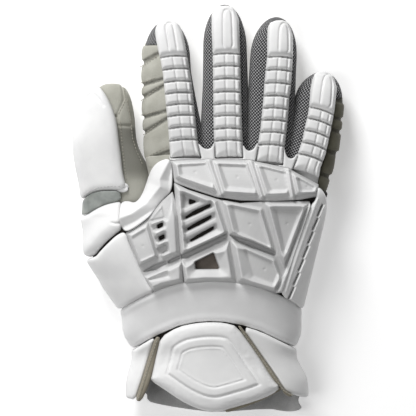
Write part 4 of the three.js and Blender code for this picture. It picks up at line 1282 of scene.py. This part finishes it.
# Two outlines pressed into the shield: how far inside its edge, and how steeply the leather rises past each.
SHIELD_LINES = ((11, 0.5), (19, -0.5))
LINE_SIZE = 0.9
LINE_STEP = 1.2
CUFF_PADS = {
    "cuff_shield": {
        "outline": [
            (152.5, 374), (157, 353), (161, 337), (178.6, 326.4), (195.7, 322.8), (210, 321.8),
            (224, 322.4), (237, 326), (256, 352), (272, 378), (280, 386), (271.4, 393), (253, 400),
            (233, 405.7), (218.6, 409.6), (207, 409), (195.7, 405.7), (181, 398.6), (164, 387),
            (151, 379),
        ],
        "stand": 11, "edge": 6,
    },
    "cuff_left_flap": {
        "outline": [
            (100, 366), (134, 349.8), (147, 341.6), (155, 337), (152, 346), (146, 365), (140, 385),
            (135.3, 398.6), (128.6, 398), (118, 400), (100, 400),
        ],
        "stand": 8, "edge": 4,
    },
    "cuff_right_flap": {
        "outline": [
            (241.5, 325.6), (260, 331.2), (278.6, 340.5), (297, 349.6), (325, 363), (325, 399),
            (304.5, 397.4), (287.5, 391), (283.5, 387.5), (275, 373.6), (258, 349.6),
        ],
        "stand": 8, "edge": 4,
    },
}
BINDINGS = {
    "cuff_left_binding": [
        (156, 337), (160.4, 335.5), (156.6, 352), (151.6, 374), (150, 379.5), (148, 386), (141, 400.3),
        (136, 399), (140.7, 385.5), (146.8, 365), (152.8, 346),
    ],
    "cuff_right_binding": [
        (237.8, 325.2), (240.8, 326), (257.4, 350.5), (274.4, 374.5), (283, 388.5), (287.3, 392),
        (303.5, 398), (302, 400.5), (285, 394), (280.8, 386.4), (272.5, 377.6), (256.5, 351.6),
    ],
}
CUFF_PALM = [
    (100, 352), (330, 352), (330, 388), (301, 395.5), (298.5, 399.5), (299.5, 404), (303, 408.6),
    (296, 412), (284, 412.4), (269, 409.6), (217, 413.9), (195, 411.4), (174, 408.2), (158, 405.2),
    (147, 402), (146.4, 393), (136, 392), (100, 392),
]
for name, row in CUFF_PADS.items():
    block = node_block([name], pitch=0.8, margin=3)
    skin = hand_skin(block)
    plan = outline(block, row["outline"], 1)
    stand = block.flat(float(row["stand"]))
    if name == "cuff_shield":
        for inward, rise in SHIELD_LINES:
            stand = stand - dent(plan + inward, LINE_SIZE, LINE_SIZE)
            stand = stand + np.clip(-plan - (inward + 1), 0, LINE_STEP) * rise
    made = piece(name + "_cover", pad(block, skin, plan, stand, row["edge"], CUFF_HEM), block, white_foam)
    billow(made, block, plan)
    # Painted shade on each cuff pad: darker below its top and on faces turned to the side.
    place_in_glove(paint_shade(made, block, skin, row["stand"], 0.6), "foam", name, fill=0.6)

binding_tape, shader, place = finish("binding_tape", 0.85, 0.25, 0.2)
TWILL_PITCH = 1.3  # millimetres between the ribs of its twill
turn = 2 * math.pi * 1000 / TWILL_PITCH
slanted = (place.part(0) + place.part(1)) * turn
crossed = (place.part(0) - place.part(1)) * turn
twill = (slanted.math("SINE", slanted) * 0.6 + crossed.math("SINE", crossed) * 0.4).step(-0.7, 0.7)
tone = (twill * 0.6 + place.noise(4) * 0.4).mixed((0.2, 0.175, 0.13, 1), (0.38, 0.35, 0.28, 1))
wire_up(shader, place, Base_Color=tone, Normal=twill.bump(0.18))
for name, shape in BINDINGS.items():
    block = node_block([name], pitch=0.6, margin=2)
    field = pad(block, hand_skin(block), outline(block, shape, 1), stand=9.5, edge=3, hem=CUFF_HEM)
    place_in_glove(piece(name + "_tape", field, block, binding_tape), "binding", name)

SHIELD_TAPE = [
    (282.5, 387.5), (263, 397.8), (243, 405.6), (226, 410.6), (226, 408), (243, 402.6), (262, 395),
    (280, 385.5),
]
block = drawn_block([(224, 412), (285, 384)], (30, 62), 0.6)
field = pad(block, hand_skin(block), outline(block, SHIELD_TAPE, 1), stand=7, edge=2, hem=CUFF_HEM)
place_in_glove(piece("shield_tape", field, block, binding_tape), "binding")

lining, shader, place = finish("brushed_lining", 0.95, 0.2, 0.4)
nap = place.noise(0.5, 3)
cloud = place.noise(9, 3)
tone = (nap * 0.5 + cloud * 0.5).step(0.3, 0.7).mixed((0.46, 0.46, 0.46, 1), (0.66, 0.66, 0.655, 1))
wire_up(shader, place, Base_Color=tone, Normal=nap.bump(0.3))
block = node_block(["cuff_palm"], pitch=0.9, margin=3)
skin = hand_skin(block)
body = soft_max(skin - LINING_STAND, outline(block, CUFF_PALM, 1), 3)
body = soft_max(body, block.z - CUFF_HEM + CLEARANCE, 1)
body = np.maximum(np.maximum(body, CLEARANCE - skin), TABLE_GAP - block.z)
place_in_glove(piece("cuff_palm_lining", body, block, lining), "cuff_lining", "cuff_palm", fill=0.6)

# Lock stitches of thick polyester thread, sunk a little into what they sew. Each seam is drawn over the
# photograph, dropped onto the piece that it runs over, and sewn by one set of geometry nodes.
STITCH_STEP = 2.6
STITCH_LENGTH = 1.9
THREAD = 0.42  # radius
ROUTE_STEP = 1.2  # millimetres between the places where a seam's height is taken
ROUTE_REACH = 1.4  # how near a point of the piece has to lie to count there
SEAMS = [
    {
        "name": "index_folds", "on": "index_leather_cover", "thread": "beige_thread",
        "lines": [
            [(140, 83.4), (147, 81.4), (155, 78.4)], [(142, 115), (149, 113.6), (158.5, 111)],
            [(148, 156.5), (157, 152), (168, 146.5)], [(139, 67.5), (147, 63), (156, 57.5)],
            [(141.5, 100.5), (149, 95), (158.5, 87.5)], [(144, 134.5), (152, 128.5), (161, 120)],
        ],
    },
    {
        "name": "thumb_seam", "on": "thumb_leather_cover", "thread": "beige_thread",
        "lines": [
            [(123.8, 88), (125.6, 100), (118.5, 114.5)],
            [(120.4, 122), (122, 140), (123.6, 156), (124.8, 168), (126.4, 179)],
            [(127.4, 101), (130.6, 118), (132.6, 138), (137, 152), (142, 163)],
        ],
    },
    {
        "name": "left_binding_seam", "on": "cuff_left_binding_tape", "thread": "beige_thread",
        "lines": [[(157, 341), (149, 366), (143.5, 384), (139, 397)]],
    },
    {
        "name": "right_binding_seam", "on": "cuff_right_binding_tape", "thread": "beige_thread",
        "lines": [[(240, 328), (257, 351.8), (273.8, 376), (283, 389.5), (299, 397)]],
    },
    {
        "name": "shell_seam", "on": "thumb_shell_cover", "thread": "white_thread",
        "lines": [[(84, 196), (90, 191.5), (99, 187.5), (110, 186.5), (119, 186.5)]],
    },
]


def stitching():
    """Geometry nodes that lay a stitch at every step along a mesh's edges, its size a little at random."""
    tree = bpy.data.node_groups.new("lock_stitches", "GeometryNodeTree")
    face = tree.interface
    face.new_socket("Seam", in_out="INPUT", socket_type="NodeSocketGeometry")
    for name in ("Step", "Length", "Thread"):
        face.new_socket(name, in_out="INPUT", socket_type="NodeSocketFloat")
    face.new_socket("Seed", in_out="INPUT", socket_type="NodeSocketInt")
    face.new_socket("Finish", in_out="INPUT", socket_type="NodeSocketMaterial")
    face.new_socket("Stitches", in_out="OUTPUT", socket_type="NodeSocketGeometry")
    given = tree.nodes.new("NodeGroupInput").outputs
    seam, step, length, thread, seed, colour = (Wire(tree, given[k]) for k in range(6))
    curve = seam.node("GeometryNodeMeshToCurve", {}, {0: seam})
    places = curve.node("GeometryNodeResampleCurve", {"mode": "LENGTH"}, {"Curve": curve, "Length": step})
    along = places.node("GeometryNodeInputTangent", {}, {})
    turned = along.node("FunctionNodeAlignRotationToVector", {"axis": "Z"}, {"Vector": along})
    bead = seam.node("GeometryNodeMeshUVSphere", {}, {"Segments": 6, "Rings": 5, "Radius": 1.0})
    size = thread.node("ShaderNodeCombineXYZ", {}, {0: thread, 1: thread, 2: length * 0.5})
    vary = seed.node("FunctionNodeRandomValue", {"data_type": "FLOAT"}, {2: 0.9, 3: 1.1, "Seed": seed}, 1)
    scale = size.node("ShaderNodeVectorMath", {"operation": "SCALE"}, {0: size, "Scale": vary})
    values = {"Points": places, "Instance": bead, "Rotation": turned, "Scale": scale}
    sewn = places.node("GeometryNodeInstanceOnPoints", {}, values)
    real = sewn.node("GeometryNodeRealizeInstances", {}, {0: sewn})
    done = real.node("GeometryNodeSetMaterial", {}, {"Geometry": real, "Material": colour})
    tree.links.new(done.socket, tree.nodes.new("NodeGroupOutput").inputs[0])
    return tree


def thread_finish(name, dark, light):
    """Twisted thread with a slight sheen."""
    material, shader, place = finish(name, 0.6, 0.4, 0.2)
    twist = (place.part(0) + place.part(1)) * (2 * math.pi * 1000 / 0.5)
    ply = twist.math("SINE", twist)
    wire_up(shader, place, Base_Color=ply.step(-1, 1).mixed(dark, light), Normal=ply.bump(0.05))
    return material


threads = {
    "beige_thread": thread_finish("beige_thread", (0.3, 0.285, 0.23, 1), (0.5, 0.48, 0.41, 1)),
    "white_thread": thread_finish("white_thread", (0.55, 0.55, 0.55, 1), (0.75, 0.75, 0.74, 1)),
}
THREAD_SLOTS = {"beige_thread": "binding", "white_thread": "foam"}
stitch_tree = stitching()
for seed, row in enumerate(SEAMS):
    corners = points_of(bpy.data.objects[row["on"]])
    points = []
    edges = []
    for drawn in row["lines"]:
        ends = spots(drawn)
        reach = np.concatenate([[0], np.cumsum(np.hypot(*np.diff(ends, axis=0).T))])
        way = np.arange(0, reach[-1], ROUTE_STEP)
        route = np.stack([np.interp(way, reach, ends[:, 0]), np.interp(way, reach, ends[:, 1])], axis=1)
        heights = []
        for spot in route:
            near = np.hypot(corners[:, 0] - spot[0], corners[:, 1] - spot[1]) < ROUTE_REACH
            heights.append(corners[near, 2].max() if near.any() else np.nan)
        heights = np.array(heights)
        known = ~np.isnan(heights)
        route = np.column_stack([route, heights])[known]
        edges += [(len(points) + k, len(points) + k + 1) for k in range(len(route) - 1)]
        points += list(route - (0, 0, THREAD * 0.25))
    mesh = bpy.data.meshes.new(row["name"])
    mesh.from_pydata((np.array(points) / 1000).tolist(), edges, [])
    route_object = bpy.data.objects.new(row["name"] + "_route", mesh)
    bpy.context.collection.objects.link(route_object)
    sewing = route_object.modifiers.new("stitches", "NODES")
    sewing.node_group = stitch_tree
    values = {"Step": STITCH_STEP / 1000, "Length": STITCH_LENGTH / 1000, "Thread": THREAD / 1000,
              "Seed": seed + 1, "Finish": threads[row["thread"]]}
    for socket in stitch_tree.interface.items_tree:
        if socket.in_out == "INPUT" and socket.name in values:
            sewing[socket.identifier] = values[socket.name]
    bpy.context.view_layer.update()
    evaluated = route_object.evaluated_get(bpy.context.evaluated_depsgraph_get())
    stitches = bpy.data.objects.new(row["name"], bpy.data.meshes.new_from_object(evaluated))
    bpy.data.objects.remove(route_object)
    stitches.data.shade_smooth()
    bpy.context.collection.objects.link(stitches)
    place_in_glove(stitches, THREAD_SLOTS[row["thread"]])
